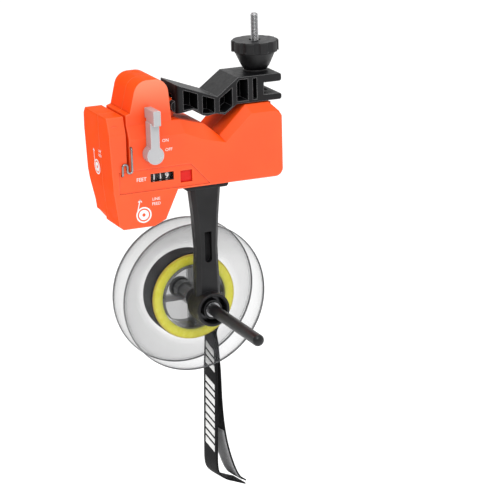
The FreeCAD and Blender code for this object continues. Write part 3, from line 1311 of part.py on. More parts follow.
def worm():
    """Single-start worm: a core with a helical thread whose pitch is the gear's."""
    piece = Piece("counter_worm", ("wheel_x", COUNTER_Y + " - worm_half", "wheel_z"), TO_Y)
    root = "worm_pitch_radius - tooth_height - 0.15"
    piece.turned(rectangle("mshaft_radius + insert_gap", "0", root, "2 * worm_half"))
    pitch = "(gear_module * pi)"
    middle_z = "(worm_half - floor(worm_half / %s) * %s)" % (pitch, pitch)
    start = "(%s / 4 + %s)" % (pitch, middle_z)
    thread = piece.sketch("XZ", "0", [[
        (root + " - 0.1", start + " - %s * 0.30" % pitch),
        ("worm_pitch_radius + tooth_height", start + " - %s * 0.13" % pitch),
        ("worm_pitch_radius + tooth_height", start + " + %s * 0.13" % pitch),
        (root + " - 0.1", start + " + %s * 0.30" % pitch)]])
    doc.recompute()
    helix = piece.body.newObject("PartDesign::AdditiveHelix", "Thread")
    helix.Profile = thread
    helix.ReferenceAxis = (thread, ["V_Axis"])
    helix.Mode = "pitch-turns-angle"
    bind(helix, "Pitch", pitch)
    bind(helix, "Turns", "5")
    piece.body.Tip = helix


def worm_gear():
    """Gear on the counter shaft; one tooth gap is cut and repeated."""
    gear = Piece("worm_gear", ("wheel_x - gear_width / 2", COUNTER_Y, "counter_z"), TO_X)
    radius = "gear_module * gear_teeth / 2"
    gear.turned(rectangle("mshaft_radius + insert_gap", "0", radius + " + tooth_height",
                          "gear_width"))
    pitch = "(gear_module * pi)"
    gap = gear.pocket("XY", "-1", "gear_width + 1", [[
        (radius + " - tooth_height - 0.1", "-%s * 0.14" % pitch),
        (radius + " + tooth_height + 0.3", "-%s * 0.42" % pitch),
        (radius + " + tooth_height + 0.3", "%s * 0.42" % pitch),
        (radius + " - tooth_height - 0.1", "%s * 0.14" % pitch)]])
    gear.polar(gap, "gear_teeth")
    gear.pad("XY", "gear_width", "gear_width + 0.8", [], [("0", "0", "3")])
    gear.pocket("XY", "-1", "gear_width + 2", circles=[("0", "0", "mshaft_radius + insert_gap")])


def digit_wheels():
    """Hundreds, tens and units wheels side by side on the counter shaft."""
    for number, label in enumerate(("hundreds_wheel", "tens_wheel", "units_wheel")):
        left = "digit_left + %d * (digit_width + digit_gap)" % number
        wheel = Piece(label, (left, COUNTER_Y, "counter_z"), TO_X)
        bore = "mshaft_radius + %s" % ("insert_gap" if label == "units_wheel" else "mshaft_gap")
        rim = "digit_radius - 1.6"
        wheel.turned([(bore, "0"), ("3.2", "0"), ("3.2", "1.4"), (rim, "1.4"), (rim, "0"),
                      ("digit_radius", "0"), ("digit_radius", "digit_width"),
                      (rim, "digit_width"), (rim, "2.8"), ("3.2", "2.8"),
                      ("3.2", "digit_width"), (bore, "digit_width")])
    round_shaft("counter_shaft", ("cshaft_left", COUNTER_Y, "counter_z"), TO_X,
                "mshaft_radius", "cshaft_right - cshaft_left")


def counter_frame():
    """Bracket behind the front wall that carries the counter shaft and the reset stop."""
    frame = Piece("counter_frame")
    front = "-half_depth + wall + face_gap"
    arch = [("frame_left", "frame_low"), ("frame_left + frame_plate", "frame_low"),
            ("frame_left + frame_plate", "frame_top - frame_plate"),
            ("frame_right - frame_plate", "frame_top - frame_plate"),
            ("frame_right - frame_plate", "frame_low"), ("frame_right", "frame_low"),
            ("frame_right", "frame_top"), ("frame_left", "frame_top")]
    frame.pad("XZ", front, COUNTER_Y + " + frame_behind", [arch])
    frame.pad("XZ", STOP_Y, STOP_Y + " + frame_plate",
              [rectangle("frame_right - 0.2", "button_low", "button_right + 0.2", "button_high")])
    frame.pocket("YZ", "frame_left - 1", "frame_right + 1",
                 circles=[(COUNTER_Y, "counter_z", "mshaft_radius + mshaft_gap")])


def counter_window():
    """Clear lens set into the front wall."""
    lens = Piece("counter_window")
    start = PANEL_FACE + " + lens_set"
    lens.pad("XZ", start, start + " + window_depth",
             [rectangle("window_left + lens_gap", "window_low + lens_gap",
                        "window_right - lens_gap", "window_high - lens_gap")])


def reset_button():
    """Square push button with a lip inside the wall, and its return spring."""
    button = Piece("reset_button")
    front = PANEL_FACE + " + button_set"
    inner = "-half_depth + wall + face_gap * 2"
    gap = "button_gap"
    button.pad("XZ", front, front + " + button_length",
               [rectangle("button_left + " + gap, "button_low + " + gap,
                          "button_right - " + gap, "button_high - " + gap)])
    button.pad("XZ", inner, inner + " + 1.5",
               [rectangle("button_left - button_lip * 0.5", "button_low - button_lip",
                          "button_right + button_lip * 0.2", "button_high + button_lip")])
    start = front + " + button_length + press_wire + face_gap"
    place = ("(button_left + button_right) / 2", start, "(button_low + button_high) / 2")
    coil("reset_spring", place, TO_Y, STOP_Y + " - press_wire - face_gap - (%s)" % start,
         "reset_radius", "press_wire", "reset_turns")


def feed_eyelet():
    """Smooth ring in the underside where the line comes in."""
    ring = Piece("feed_eyelet", ("eyelet_x", "eyelet_y", "lower_bottom"))
    ring.turned([("eyelet_bore", "-eyelet_lip * 0.4"), ("eyelet_bore + 0.8", "-eyelet_lip"),
                 ("eyelet_flange", "-eyelet_lip"), ("eyelet_flange", "-face_gap"),
                 ("eyelet_outer", "-face_gap"), ("eyelet_outer", "wall + 0.6"),
                 ("eyelet_bore + 0.5", "wall + 0.6"), ("eyelet_bore", "wall")])


# ---------------------------------------------------------------- build and write

def check_and_write():
    doc.recompute()
    for thing in doc.Objects:
        if "Invalid" in thing.State or "Error" in thing.State:
            raise RuntimeError("%s failed: %s" % (thing.Name, thing.State))
    for label, cut in cuts:
        before = cut.BaseFeature.Shape.Volume
        if not cut.Shape.Volume < before - 1e-3:
            raise RuntimeError("%s of %s cuts nothing" % (cut.Name, label))
    os.makedirs("parts", exist_ok=True)
    for part in parts:
        if part.Shape.isNull() or not part.Shape.isValid():
            raise RuntimeError("%s has no sound shape" % part.Label)
    for part in parts:
        part.Shape.exportStep("parts/%s.step" % part.Label)


def build():
    fill_sheet()
    front_housing()
    rear_housing()
    closing_screws()
    line_guide_wire()
    feed_eyelet()
    counter_window()
    counter_frame()
    measuring_wheel()
    worm_gear()
    digit_wheels()
    reset_button()
    tension_lever()
    pressure_arm()
    spool_arm()
    arm_screws()
    clamp_bar()
    clamp_hardware()
    clamp_knob()
    spindle_set()
    supply_spool()
    spool_strap()
    check_and_write()


build()
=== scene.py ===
"""Looks of the fishing line winder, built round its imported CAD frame. Lengths are metres."""
import json
import math
import random

import bmesh
import bpy
from mathutils import Matrix, Vector


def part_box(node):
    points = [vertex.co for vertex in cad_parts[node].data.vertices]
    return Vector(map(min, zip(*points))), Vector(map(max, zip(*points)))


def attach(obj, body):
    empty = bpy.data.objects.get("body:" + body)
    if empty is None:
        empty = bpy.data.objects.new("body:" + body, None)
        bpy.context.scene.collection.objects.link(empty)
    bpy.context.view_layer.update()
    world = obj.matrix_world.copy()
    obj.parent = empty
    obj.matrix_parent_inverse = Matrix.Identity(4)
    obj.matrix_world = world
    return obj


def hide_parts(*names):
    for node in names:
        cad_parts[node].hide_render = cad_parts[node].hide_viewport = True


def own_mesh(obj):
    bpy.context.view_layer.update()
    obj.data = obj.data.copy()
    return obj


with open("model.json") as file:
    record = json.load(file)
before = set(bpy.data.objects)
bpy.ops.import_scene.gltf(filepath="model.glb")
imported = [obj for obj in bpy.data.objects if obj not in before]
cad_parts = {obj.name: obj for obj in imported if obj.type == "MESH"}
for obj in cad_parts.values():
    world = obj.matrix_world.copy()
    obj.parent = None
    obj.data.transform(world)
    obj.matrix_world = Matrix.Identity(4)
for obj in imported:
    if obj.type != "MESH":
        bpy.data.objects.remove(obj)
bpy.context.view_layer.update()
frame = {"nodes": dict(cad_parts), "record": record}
NODES = frame["nodes"]
MM = 0.001
X, Y, Z = Vector((1, 0, 0)), Vector((0, 1, 0)), Vector((0, 0, 1))
SPINDLE_X, SPINDLE_Z = -11.6 * MM, -137.3 * MM

# ------------------------------------------------------------------ camera, light, floor

AZIMUTH, ELEVATION, ROLL = math.radians(23.346), math.radians(16.120), math.radians(-1.456)
EYE = Vector((-0.68320, -1.65145, 0.41612))
PHOTO_SIDE, FOCAL = 500, 2514.78  # pixels of the photograph
SENSOR = 36
FLOOR_Z, FLOOR_HALF = -0.75, 60


def add_object(name, data):
    made = bpy.data.objects.new(name, data)
    bpy.context.scene.collection.objects.link(made)
    return made


def make_camera():
    """Camera at the photograph's viewing angle."""
    ca, sa = math.cos(AZIMUTH), math.sin(AZIMUTH)
    ce, se = math.cos(ELEVATION), math.sin(ELEVATION)
    right = Vector((ca, -sa, 0))
    up = Vector((sa * se, ca * se, ce))
    ahead = Vector((sa * ce, ca * ce, -se))
    cr, sr = math.cos(ROLL), math.sin(ROLL)
    across = cr * right + sr * up
    above = -sr * right + cr * up
    data = bpy.data.cameras.new("camera")
    data.sensor_width = SENSOR
    data.lens = SENSOR * FOCAL / PHOTO_SIDE
    data.clip_start, data.clip_end = 0.05, 20
    camera = add_object("camera", data)
    turn = Matrix((across, above, -ahead)).transposed().to_4x4()
    camera.matrix_world = Matrix.Translation(EYE) @ turn
    bpy.context.scene.camera = camera


def area_light(name, place, size, power):
    """Round white lamp that shines at the middle of the object."""
    data = bpy.data.lights.new(name, "AREA")
    data.shape = "DISK"
    data.size = size
    data.energy = power
    lamp = add_object(name, data)
    lamp.location = place
    lamp.rotation_mode = "QUATERNION"
    way = Vector((-0.02, 0, -0.1)) - Vector(place)
    lamp.rotation_quaternion = way.to_track_quat("-Z", "Y")


def make_light():
    """Pale surround, darker to the left, and three soft lamps."""
    world = bpy.data.worlds.new("studio")
    world.use_nodes = True
    nodes, links = world.node_tree.nodes, world.node_tree.links
    way = nodes.new("ShaderNodeTexCoord")
    turn = nodes.new("ShaderNodeMapping")
    turn.inputs["Rotation"].default_value = (0, 0, math.radians(-25))
    links.new(way.outputs["Generated"], turn.inputs["Vector"])
    sideways = coordinates(nodes, links, turn.outputs["Vector"])["X"]
    strength = spread(nodes, links, sideways, 0.50, 1.03, -0.95, 0.25)
    strength.node.interpolation_type = "SMOOTHSTEP"
    links.new(strength, nodes["Background"].inputs["Strength"])
    nodes["Background"].inputs["Color"].default_value = (1, 1, 1, 1)
    bpy.context.scene.world = world
    area_light("key", (-0.6, -1.9, 1.6), size=1.4, power=28)
    area_light("fill", (-1.8, -0.9, 0.5), size=1.3, power=1)
    area_light("top", (0.1, 0.6, 2.2), size=2.2, power=18)


def make_floor():
    """White floor that glows a little, so that it stays white up to the horizon."""
    mesh = bpy.data.meshes.new("floor")
    form = bmesh.new()
    bmesh.ops.create_grid(form, x_segments=8, y_segments=8, size=FLOOR_HALF)
    form.to_mesh(mesh)
    form.free()
    floor = add_object("floor", mesh)
    floor.location = (0, 0, FLOOR_Z)
    finish = look("pale_floor", (0.98, 0.98, 0.98), (0.96, 0.96, 0.96), rough=(0.75, 0.85),
                  patch=3, grain=300, bump=0.02, bevel=0)
    shader = finish.node_tree.nodes["Principled BSDF"]
    shader.inputs["Emission Color"].default_value = (1, 1, 1, 1)
    shader.inputs["Emission Strength"].default_value = 0.20
    mesh.materials.append(finish)


# ------------------------------------------------------------------ materials

GRAIN_DEPTH = 0.2 * MM
FLANGE_REACH, WINDING_REACH = 56.6, 33.0  # radii in mm


def blank(name):
    """New material, with its nodes, its links and its shader."""
    made = bpy.data.materials.new(name)
    made.use_nodes = True
    return made, made.node_tree.nodes, made.node_tree.links, made.node_tree.nodes["Principled BSDF"]


def noise(nodes, links, source, scale, detail=3.0, stretch=None):
    """Noise over the coordinates in 'source', stretched along an axis if asked."""
    made = nodes.new("ShaderNodeTexNoise")
    made.inputs["Scale"].default_value = scale
    made.inputs["Detail"].default_value = detail
    if stretch:
        scaled = nodes.new("ShaderNodeMapping")
        scaled.inputs["Scale"].default_value = stretch
        links.new(source, scaled.inputs["Vector"])
        source = scaled.outputs["Vector"]
    links.new(source, made.inputs["Vector"])
    return made.outputs["Fac"]


def ramp(nodes, links, value, low, high, at=(0.35, 0.65)):
    """Colour that goes from low to high between two values."""
    made = nodes.new("ShaderNodeValToRGB")
    made.color_ramp.elements[0].position, made.color_ramp.elements[1].position = at
    made.color_ramp.elements[0].color = (*low, 1)
    made.color_ramp.elements[1].color = (*high, 1)
    links.new(value, made.inputs["Fac"])
    return made.outputs["Color"]


def spread(nodes, links, value, low, high, start=0.3, end=0.7):
    """Value mapped from start and end to low and high, and held there beyond them."""
    made = nodes.new("ShaderNodeMapRange")
    made.inputs["From Min"].default_value = start
    made.inputs["From Max"].default_value = end
    made.inputs["To Min"].default_value = low
    made.inputs["To Max"].default_value = high
    links.new(value, made.inputs["Value"])
    return made.outputs["Result"]


def coordinates(nodes, links, vector):
    """Sockets X, Y and Z of a vector."""
    made = nodes.new("ShaderNodeSeparateXYZ")
    links.new(vector, made.inputs["Vector"])
    return made.outputs


def combined(nodes, links, operation, one, other):
    """Sum or product of two values, kept between 0 and 1."""
    made = nodes.new("ShaderNodeMath")
    made.operation = operation
    made.use_clamp = True
    links.new(one, made.inputs[0])
    links.new(other, made.inputs[1])
    return made.outputs["Value"]


def mixed(nodes, links, share, one, other, blend="MIX"):
    """Mix of two colours; the share and the colours are sockets or fixed values."""
    made = nodes.new("ShaderNodeMix")
    made.data_type = "RGBA"
    made.blend_type = blend
    for label, value in (("Factor", share), ("A", one), ("B", other)):
        if isinstance(value, bpy.types.NodeSocket):
            links.new(value, made.inputs[label])
        else:
            made.inputs[label].default_value = value
    return made.outputs["Result"]


def bumped(nodes, links, height, strength):
    """Bump node of a fixed small depth."""
    made = nodes.new("ShaderNodeBump")
    made.inputs["Strength"].default_value = strength
    made.inputs["Distance"].default_value = GRAIN_DEPTH
    links.new(height, made.inputs["Height"])
    return made


def openness(nodes, reach, samples, alone=False, inside=False):
    """How open the surround is within a reach in mm, seen from outside or from inside."""
    made = nodes.new("ShaderNodeAmbientOcclusion")
    made.samples = samples
    made.only_local = alone
    made.inside = inside
    made.inputs["Distance"].default_value = reach * MM
    return made.outputs["AO"]


def worn(nodes, links, colour, rounded, wear_and_highlight):
    """Lighter colour where the rounded normal turns away from the real one, as on edges: partly
    wearing and partly a painted highlight.
    """
    bare = nodes.new("ShaderNodeNewGeometry")
    agree = nodes.new("ShaderNodeVectorMath")
    agree.operation = "DOT_PRODUCT"
    links.new(rounded, agree.inputs[0])
    links.new(bare.outputs["Normal"], agree.inputs[1])
    share = spread(nodes, links, agree.outputs["Value"], 0.85, 0.0, 0.80, 0.985)
    return mixed(nodes, links, share, colour, (*wear_and_highlight, 1))


def creased(nodes, links, colour, corners, edges):
    """Painted shade in narrow corners, and a lighter colour along outer edges that is partly
    wearing and partly a painted highlight.
    """
    for inside, tint, reach, start in ((False, corners, 1.8, 0.55), (True, edges, 1.1, 0.45)):
        near = openness(nodes, reach, 6, alone=True, inside=inside)
        share = spread(nodes, links, near, 0.0, 1.0, start, 0.94)
        colour = mixed(nodes, links, share, (*tint, 1), colour)
    return colour


def look(name, low, high, rough=(0.4, 0.5), metal=0.0, patch=60, grain=2600, bump=0.12,
         bevel=0.6, wear_and_highlight=None, stretch=None, specular=0.5, coat=0.0, crease=None,
         hollow=None):
    """Surface with slow colour patches, fine grain, uneven gloss, soft edges, lighter edges that
    are partly wearing and partly painted highlight, and painted shade in creases.

    The crease colours are a painted shade in narrow corners and a lighter colour along outer edges,
    partly wearing and partly painted highlight, and the hollow reach in mm is where a recess loses
    its gloss, a painted shade.
    """
    made, nodes, links, shader = blank(name)
    place = nodes.new("ShaderNodeTexCoord").outputs["Object"]
    colour = ramp(nodes, links, noise(nodes, links, place, patch), low, high)
    bumps = bumped(nodes, links, noise(nodes, links, place, grain, 2.0, stretch), bump)
    if bevel:
        edge = nodes.new("ShaderNodeBevel")
        edge.samples = 6
        edge.inputs["Radius"].default_value = bevel * MM
        links.new(edge.outputs["Normal"], bumps.inputs["Normal"])
        # Lighter edges, partly wearing and partly a painted highlight.
        if wear_and_highlight:
            colour = worn(nodes, links, colour, edge.outputs["Normal"], wear_and_highlight)
    # Painted shade in corners, and lighter outer edges that are partly painted highlight.
    if crease:
        colour = creased(nodes, links, colour, *crease)
    links.new(colour, shader.inputs["Base Color"])
    links.new(spread(nodes, links, noise(nodes, links, place, patch * 4), *rough),
              shader.inputs["Roughness"])
    links.new(bumps.outputs["Normal"], shader.inputs["Normal"])
    shader.inputs["Metallic"].default_value = metal
    shader.inputs["Specular IOR Level"].default_value = specular
    # Painted shade: recesses lose their gloss within the reach.
    if hollow:
        around = openness(nodes, hollow, 8)
        links.new(spread(nodes, links, around, 0.0, specular, 0.25, 0.85),
                  shader.inputs["Specular IOR Level"])
    shader.inputs["Coat Weight"].default_value = coat
    shader.inputs["Coat Roughness"].default_value = 0.15
    return made


def clear_look(name, low, high, facing, grazing, rough=(0.05, 0.12), spool=False):
    """Clear moulding: hardly there face on, a grey line where it is seen on edge."""
    made, nodes, links, shader = blank(name)
    place = nodes.new("ShaderNodeTexCoord").outputs["Object"]
    links.new(ramp(nodes, links, noise(nodes, links, place, 30), low, high),
              shader.inputs["Base Color"])
    links.new(spread(nodes, links, noise(nodes, links, place, 160), *rough),
              shader.inputs["Roughness"])
    edge = nodes.new("ShaderNodeLayerWeight")
    edge.inputs["Blend"].default_value = 0.32
    haze = spread(nodes, links, edge.outputs["Facing"], facing, grazing, 0.05, 0.95)
    if spool:
        haze = thicker(nodes, links, place, haze)
    links.new(haze, shader.inputs["Alpha"])
    shader.inputs["IOR"].default_value = 1.49
    return made


def off_axis(nodes, links, place, reach):
    """Distance from the spindle's axis as a share of 'reach' in mm, and the place seen from it."""
    shift = nodes.new("ShaderNodeMapping")
    shift.inputs["Location"].default_value = (-SPINDLE_X, 0, -SPINDLE_Z)
    links.new(place, shift.inputs["Vector"])
    flat = nodes.new("ShaderNodeVectorMath")
    flat.operation = "MULTIPLY"
    flat.inputs[1].default_value = (1, 0, 1)
    links.new(shift.outputs["Vector"], flat.inputs[0])
    radius = nodes.new("ShaderNodeVectorMath")
    radius.operation = "LENGTH"
    links.new(flat.outputs["Vector"], radius.inputs[0])
    share = nodes.new("ShaderNodeMapRange")
    share.inputs["From Max"].default_value = reach * MM
    links.new(radius.outputs["Value"], share.inputs["Value"])
    return share.outputs["Result"], shift.outputs["Vector"]


def steps_ramp(nodes, links, value, steps):
    """Colour ramp with any number of (place, colour) steps."""
    made = nodes.new("ShaderNodeValToRGB")
    points = made.color_ramp.elements
    for step, (at, colour) in enumerate(steps):
        point = points[step] if step < 2 else points.new(at)
        point.position = at
        point.color = (*colour, 1)
    links.new(value, made.inputs["Fac"])
    return made.outputs["Color"]


def thicker(nodes, links, place, haze):
    """More haze at the spool's hub, more towards its rims as a painted dark edge, and more on the
    flange's left and top as painted shade.
    """
    share, spot = off_axis(nodes, links, place, FLANGE_REACH)
    # Near 1.0 the steps rise to paint a dark edge line at the rims, a painted shade.
    steps = ((0.0, 0.30), (0.43, 0.30), (0.45, 0.0), (0.60, 0.0), (0.66, 0.035), (0.90, 0.06),
             (0.97, 0.12), (1.0, 0.40))
    more = steps_ramp(nodes, links, share, [(at, (value,) * 3) for at, value in steps])
    spot = coordinates(nodes, links, spot)
    # Painted shade: more haze, so a darker flange, on its left and top.
    left = spread(nodes, links, spot["X"], 0.065, 0.0, -0.050, 0.030)
    high = spread(nodes, links, spot["Z"], 0.0, 0.09, 0.020, 0.052)
    flange = spread(nodes, links, share, 0.0, 1.0, 0.60, 0.70)
    sides = combined(nodes, links, "ADD", left, high)
    painted_side_shade = combined(nodes, links, "MULTIPLY", sides, flange)
    haze = combined(nodes, links, "ADD", haze, more)
    return combined(nodes, links, "ADD", haze, painted_side_shade)


def repaint(made, share, other, blend="MIX"):
    """Mix another colour into the one that a finished look has."""
    nodes, links = made.node_tree.nodes, made.node_tree.links
    base = nodes["Principled BSDF"].inputs["Base Color"]
    links.new(mixed(nodes, links, share, base.links[0].from_socket, other, blend), base)


def line_look():
    """Clear yellow line: a little duller near the drum, brighter towards the winding's outer edge
    as a painted highlight, and amber at that edge.
    """
    made = look("wound_line", (0.92, 0.86, 0.045), (1.0, 0.95, 0.095), rough=(0.22, 0.34),
                patch=260, grain=5200, bump=0.10, bevel=0, coat=0.3)
    nodes, links = made.node_tree.nodes, made.node_tree.links
    place = nodes.new("ShaderNodeTexCoord").outputs["Object"]
    share, _ = off_axis(nodes, links, place, WINDING_REACH)
    # Painted highlight: the tint brightens the line towards the winding's outer edge.
    tint = steps_ramp(nodes, links, share, [(0.0, (0.80, 0.84, 1.0)), (0.78, (0.80, 0.84, 1.0)),
                                            (0.84, (1.0, 1.0, 1.0)), (0.94, (1.0, 1.0, 0.9)),
                                            (0.99, (0.66, 0.54, 0.4))])
    repaint(made, 1, tint, "MULTIPLY")
    return made


def orange_look():
    """Orange moulding: glossy on the front, dull on the sides, with a painted highlight that makes
    the tower's front paler.
    """
    # The crease colours paint shade into narrow corners and lighten outer edges, partly wearing and
    # partly painted highlight.
    made = look("orange_shell", (0.93, 0.070, 0.0035), (0.96, 0.084, 0.007), rough=(0.40, 0.50),
                patch=25, grain=3800, bump=0.06, bevel=1.9, specular=0.012,
                crease=((0.45, 0.020, 0.001), (0.97, 0.14, 0.035)))
    nodes, links = made.node_tree.nodes, made.node_tree.links
    where = nodes.new("ShaderNodeTexCoord")
    way = coordinates(nodes, links, where.outputs["Normal"])
    ahead = spread(nodes, links, way["Y"], 0.0, 1.0, -0.60, -0.97)
    links.new(spread(nodes, links, ahead, 0.012, 0.55, 0.0, 1.0),
              nodes["Principled BSDF"].inputs["Specular IOR Level"])
    # Painted highlight: paler orange on front faces at the tower's height.
    spot = coordinates(nodes, links, where.outputs["Object"])
    tower = spread(nodes, links, spot["Z"], 0.0, 0.80, 0.012, 0.046)
    repaint(made, combined(nodes, links, "MULTIPLY", ahead, tower), (0.96, 0.32, 0.18, 1))
    return made


def band_look():
    """Woven elastic: fine ribs across the band and a thread pattern between them."""
    made, nodes, links, shader = blank("woven_band")
    place = nodes.new("ShaderNodeTexCoord").outputs["UV"]
    ribs = nodes.new("ShaderNodeTexWave")
    ribs.bands_direction = "X"
    ribs.inputs["Scale"].default_value = 260
    ribs.inputs["Distortion"].default_value = 0.6
    threads = nodes.new("ShaderNodeTexWave")
    threads.bands_direction = "Y"
    threads.inputs["Scale"].default_value = 420
    threads.inputs["Distortion"].default_value = 0.4
    links.new(place, ribs.inputs["Vector"])
    links.new(place, threads.inputs["Vector"])
    weave = combined(nodes, links, "MULTIPLY", ribs.outputs["Fac"], threads.outputs["Fac"])
    links.new(ramp(nodes, links, weave, (0.002, 0.002, 0.0025), (0.011, 0.011, 0.012),
                   (0.05, 0.9)), shader.inputs["Base Color"])
    links.new(spread(nodes, links, noise(nodes, links, place, 90), 0.62, 0.8),
              shader.inputs["Roughness"])
    links.new(bumped(nodes, links, weave, 0.5).outputs["Normal"], shader.inputs["Normal"])
    shader.inputs["Specular IOR Level"].default_value = 0.12
    shader.inputs["Sheen Weight"].default_value = 0.03
    return made


BRUSH = (1, 1, 14)  # stretches the grain into brushed lines
# Edge colours in these looks are partly wearing and partly a painted highlight, and a recess reach
# paints shade by dulling gloss in recesses.
LOOKS = {
    "orange_shell": orange_look(),
    "black_moulding": look("black_moulding", (0.005, 0.005, 0.0055), (0.010, 0.010, 0.011),
                           rough=(0.38, 0.52), patch=70, grain=3000, bump=0.22, bevel=0.7,
                           wear_and_highlight=(0.040, 0.040, 0.042), specular=0.30, hollow=6),
    "chrome": look("chrome", (0.26, 0.26, 0.265), (0.38, 0.38, 0.385), rough=(0.08, 0.16),
                   metal=1.0, patch=90, grain=900, bump=0.02, bevel=0.5),
    "bright_steel": look("bright_steel", (0.24, 0.24, 0.25), (0.36, 0.36, 0.37),
                         rough=(0.20, 0.32), metal=1.0, patch=120, grain=1500, bump=0.05,
                         bevel=0.3, stretch=BRUSH),
    "spring_steel": look("spring_steel", (0.24, 0.24, 0.25), (0.36, 0.36, 0.37),
                         rough=(0.28, 0.38), metal=1.0, patch=400, grain=2400, bevel=0),
    "black_steel": look("black_steel", (0.004, 0.004, 0.0045), (0.009, 0.009, 0.010),
                        rough=(0.28, 0.42), patch=80, grain=2200, bump=0.08, bevel=0.8,
                        wear_and_highlight=(0.035, 0.035, 0.036), specular=0.35),
    "screw_steel": look("screw_steel", (0.34, 0.34, 0.35), (0.44, 0.44, 0.45),
                        rough=(0.25, 0.4), metal=1.0, patch=300, grain=1800, bevel=0.3),
    "brass": look("brass", (0.62, 0.43, 0.16), (0.72, 0.52, 0.22), rough=(0.22, 0.35),
                  metal=1.0, patch=200, grain=1800, bump=0.05, bevel=0.3),
    "clear": clear_look("clear_moulding", (0.070, 0.072, 0.076), (0.110, 0.113, 0.118), 0.05,
                        0.85, spool=True),
    "rubber": look("rubber", (0.014, 0.014, 0.014), (0.026, 0.026, 0.026), rough=(0.7, 0.85),
                   patch=150, grain=2600, bump=0.3, bevel=0.3),
    "digits": look("digit_black", (0.008, 0.008, 0.009), (0.014, 0.014, 0.015),
                   rough=(0.5, 0.6), patch=200, grain=3000, bump=0.06, bevel=0.2),
    "white_gear": look("white_gear", (0.74, 0.74, 0.70), (0.82, 0.82, 0.78), rough=(0.4, 0.5),
                       patch=200, grain=2600, bump=0.05, bevel=0.2),
    "red_button": look("red_button", (0.56, 0.008, 0.006), (0.68, 0.014, 0.010),
                       rough=(0.28, 0.36), patch=150, grain=3000, bump=0.04, bevel=0.6,
                       wear_and_highlight=(0.80, 0.07, 0.05), specular=0.25, hollow=3),
    "fibre": look("hard_fibre", (0.20, 0.10, 0.05), (0.30, 0.16, 0.08), rough=(0.7, 0.8),
                  patch=500, grain=4000, bump=0.3, bevel=0.2),
    "line": line_look(),
    "band": band_look(),
}
PRINT = look("white_print", (0.78, 0.78, 0.77), (0.86, 0.86, 0.85), rough=(0.5, 0.6),
             patch=300, grain=5000, bump=0.08, bevel=0)
HOOK = look("hook_pad", (0.24, 0.24, 0.245), (0.40, 0.40, 0.405), rough=(0.85, 0.95),
            patch=1400, grain=3500, bump=0.8, bevel=0)
LENS = clear_look("lens", (0.05, 0.052, 0.056), (0.08, 0.083, 0.088), 0.03, 0.5, (0.04, 0.08))
# Light edges partly from wearing and partly a painted highlight.
SILVER = look("silver_lever", (0.42, 0.42, 0.43), (0.48, 0.48, 0.49), rough=(0.22, 0.28),
              metal=0.22, patch=14, grain=2400, bump=0.02, bevel=0.6, wear_and_highlight=(0.80, 0.80, 0.81),
              stretch=BRUSH)
# Painted shade darkens the thread's grooves and a painted highlight lightens its crests.
THREAD = look("rolled_thread", (0.20, 0.20, 0.205), (0.28, 0.28, 0.285), rough=(0.12, 0.18),
              metal=1.0, patch=10, grain=900, bump=0.01, bevel=0,
              crease=((0.006, 0.006, 0.0065), (0.60, 0.60, 0.61)))
# Grey edges partly from wearing and partly a painted highlight, and painted shade that dulls the
# pockets' gloss.
BAR = look("bar_black", (0.004, 0.004, 0.0045), (0.008, 0.008, 0.009), rough=(0.40, 0.52),
           patch=70, grain=3000, bump=0.20, bevel=0.8, wear_and_highlight=(0.26, 0.26, 0.265), specular=0.25,
           hollow=14)
# Painted shade: grey for the dark lines that refraction draws on the clear rims.
RIM_SHADE = look("clear_rim", (0.11, 0.11, 0.115), (0.22, 0.22, 0.23), rough=(0.10, 0.20), patch=40,
           grain=900, bump=0.05, bevel=0)
# Painted shade: the steel ring deep in the boss's recess is drawn dark.
SHADED_RING = look("shaded_ring", (0.030, 0.030, 0.032), (0.055, 0.055, 0.058), rough=(0.16, 0.24),
                 metal=1.0, patch=120, grain=1500, bump=0.04, bevel=0.3)
OWN_LOOKS = {"bush_ring": SHADED_RING, "counter_window": LENS, "tension_lever": SILVER,
             "clamp_bar": BAR, "clamp_washer": LOOKS["black_steel"]}


def dress_nodes():
    """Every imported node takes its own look, or else that of its slot in the record."""
    for row in frame["record"]["subparts"]:
        node = NODES[row["node"]]
        node.data.materials.clear()
        node.data.materials.append(OWN_LOOKS.get(row["node"], LOOKS[row["material_slot"]]))
        for face in node.data.polygons:
            face.material_index = 0


# ------------------------------------------------------------------ mesh helpers

def piece(name, points, faces, finish, body, smooth=True, uv=None):
    """Mesh piece in the frame's metres that rides on a body."""
    mesh = bpy.data.meshes.new(name)
    mesh.from_pydata([tuple(p) for p in points], [], faces)
    mesh.validate()
    if uv:
        layer = mesh.uv_layers.new(name="UVMap")
        for loop in mesh.loops:
            layer.data[loop.index].uv = uv[loop.vertex_index]
    form = bmesh.new()
    form.from_mesh(mesh)
    bmesh.ops.recalc_face_normals(form, faces=form.faces)
    form.to_mesh(mesh)
    form.free()
    mesh.materials.append(finish)
    for face in mesh.polygons:
        face.use_smooth = smooth
    made = add_object(name, mesh)
    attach(made, body)
    return made


def ring_of(count, radius):
    """Points round a circle, as (a, b)."""
    angles = [math.tau * i / count for i in range(count)]
    return [(radius * math.cos(angle), radius * math.sin(angle)) for angle in angles]


def clamped(value):
    return min(1.0, max(0.0, value))


def thicken(made, height):
    """Give a flat piece a thickness in mm."""
    made.modifiers.new("thick", "SOLIDIFY").thickness = height * MM


def sharp_edges(made, degrees):
    """Keep edges steeper than this crisp in smooth shading."""
    form = bmesh.new()
    form.from_mesh(made.data)
    for edge in form.edges:
        edge.smooth = edge.calc_face_angle(0.0) < math.radians(degrees)
    form.to_mesh(made.data)
    form.free()


def turned(profile, segments, place):
    """Closed profile of (radius, height) round an axis; 'place' maps (r, angle, h) to a point."""
    count = len(profile)
    points = [place(r, math.tau * j / segments, h) for j in range(segments) for r, h in profile]
    faces = []
    for j in range(segments):
        here, after = j * count, (j + 1) % segments * count
        for i in range(count):
            k = (i + 1) % count
            faces.append((here + i, here + k, after + k, after + i))
    return points, faces


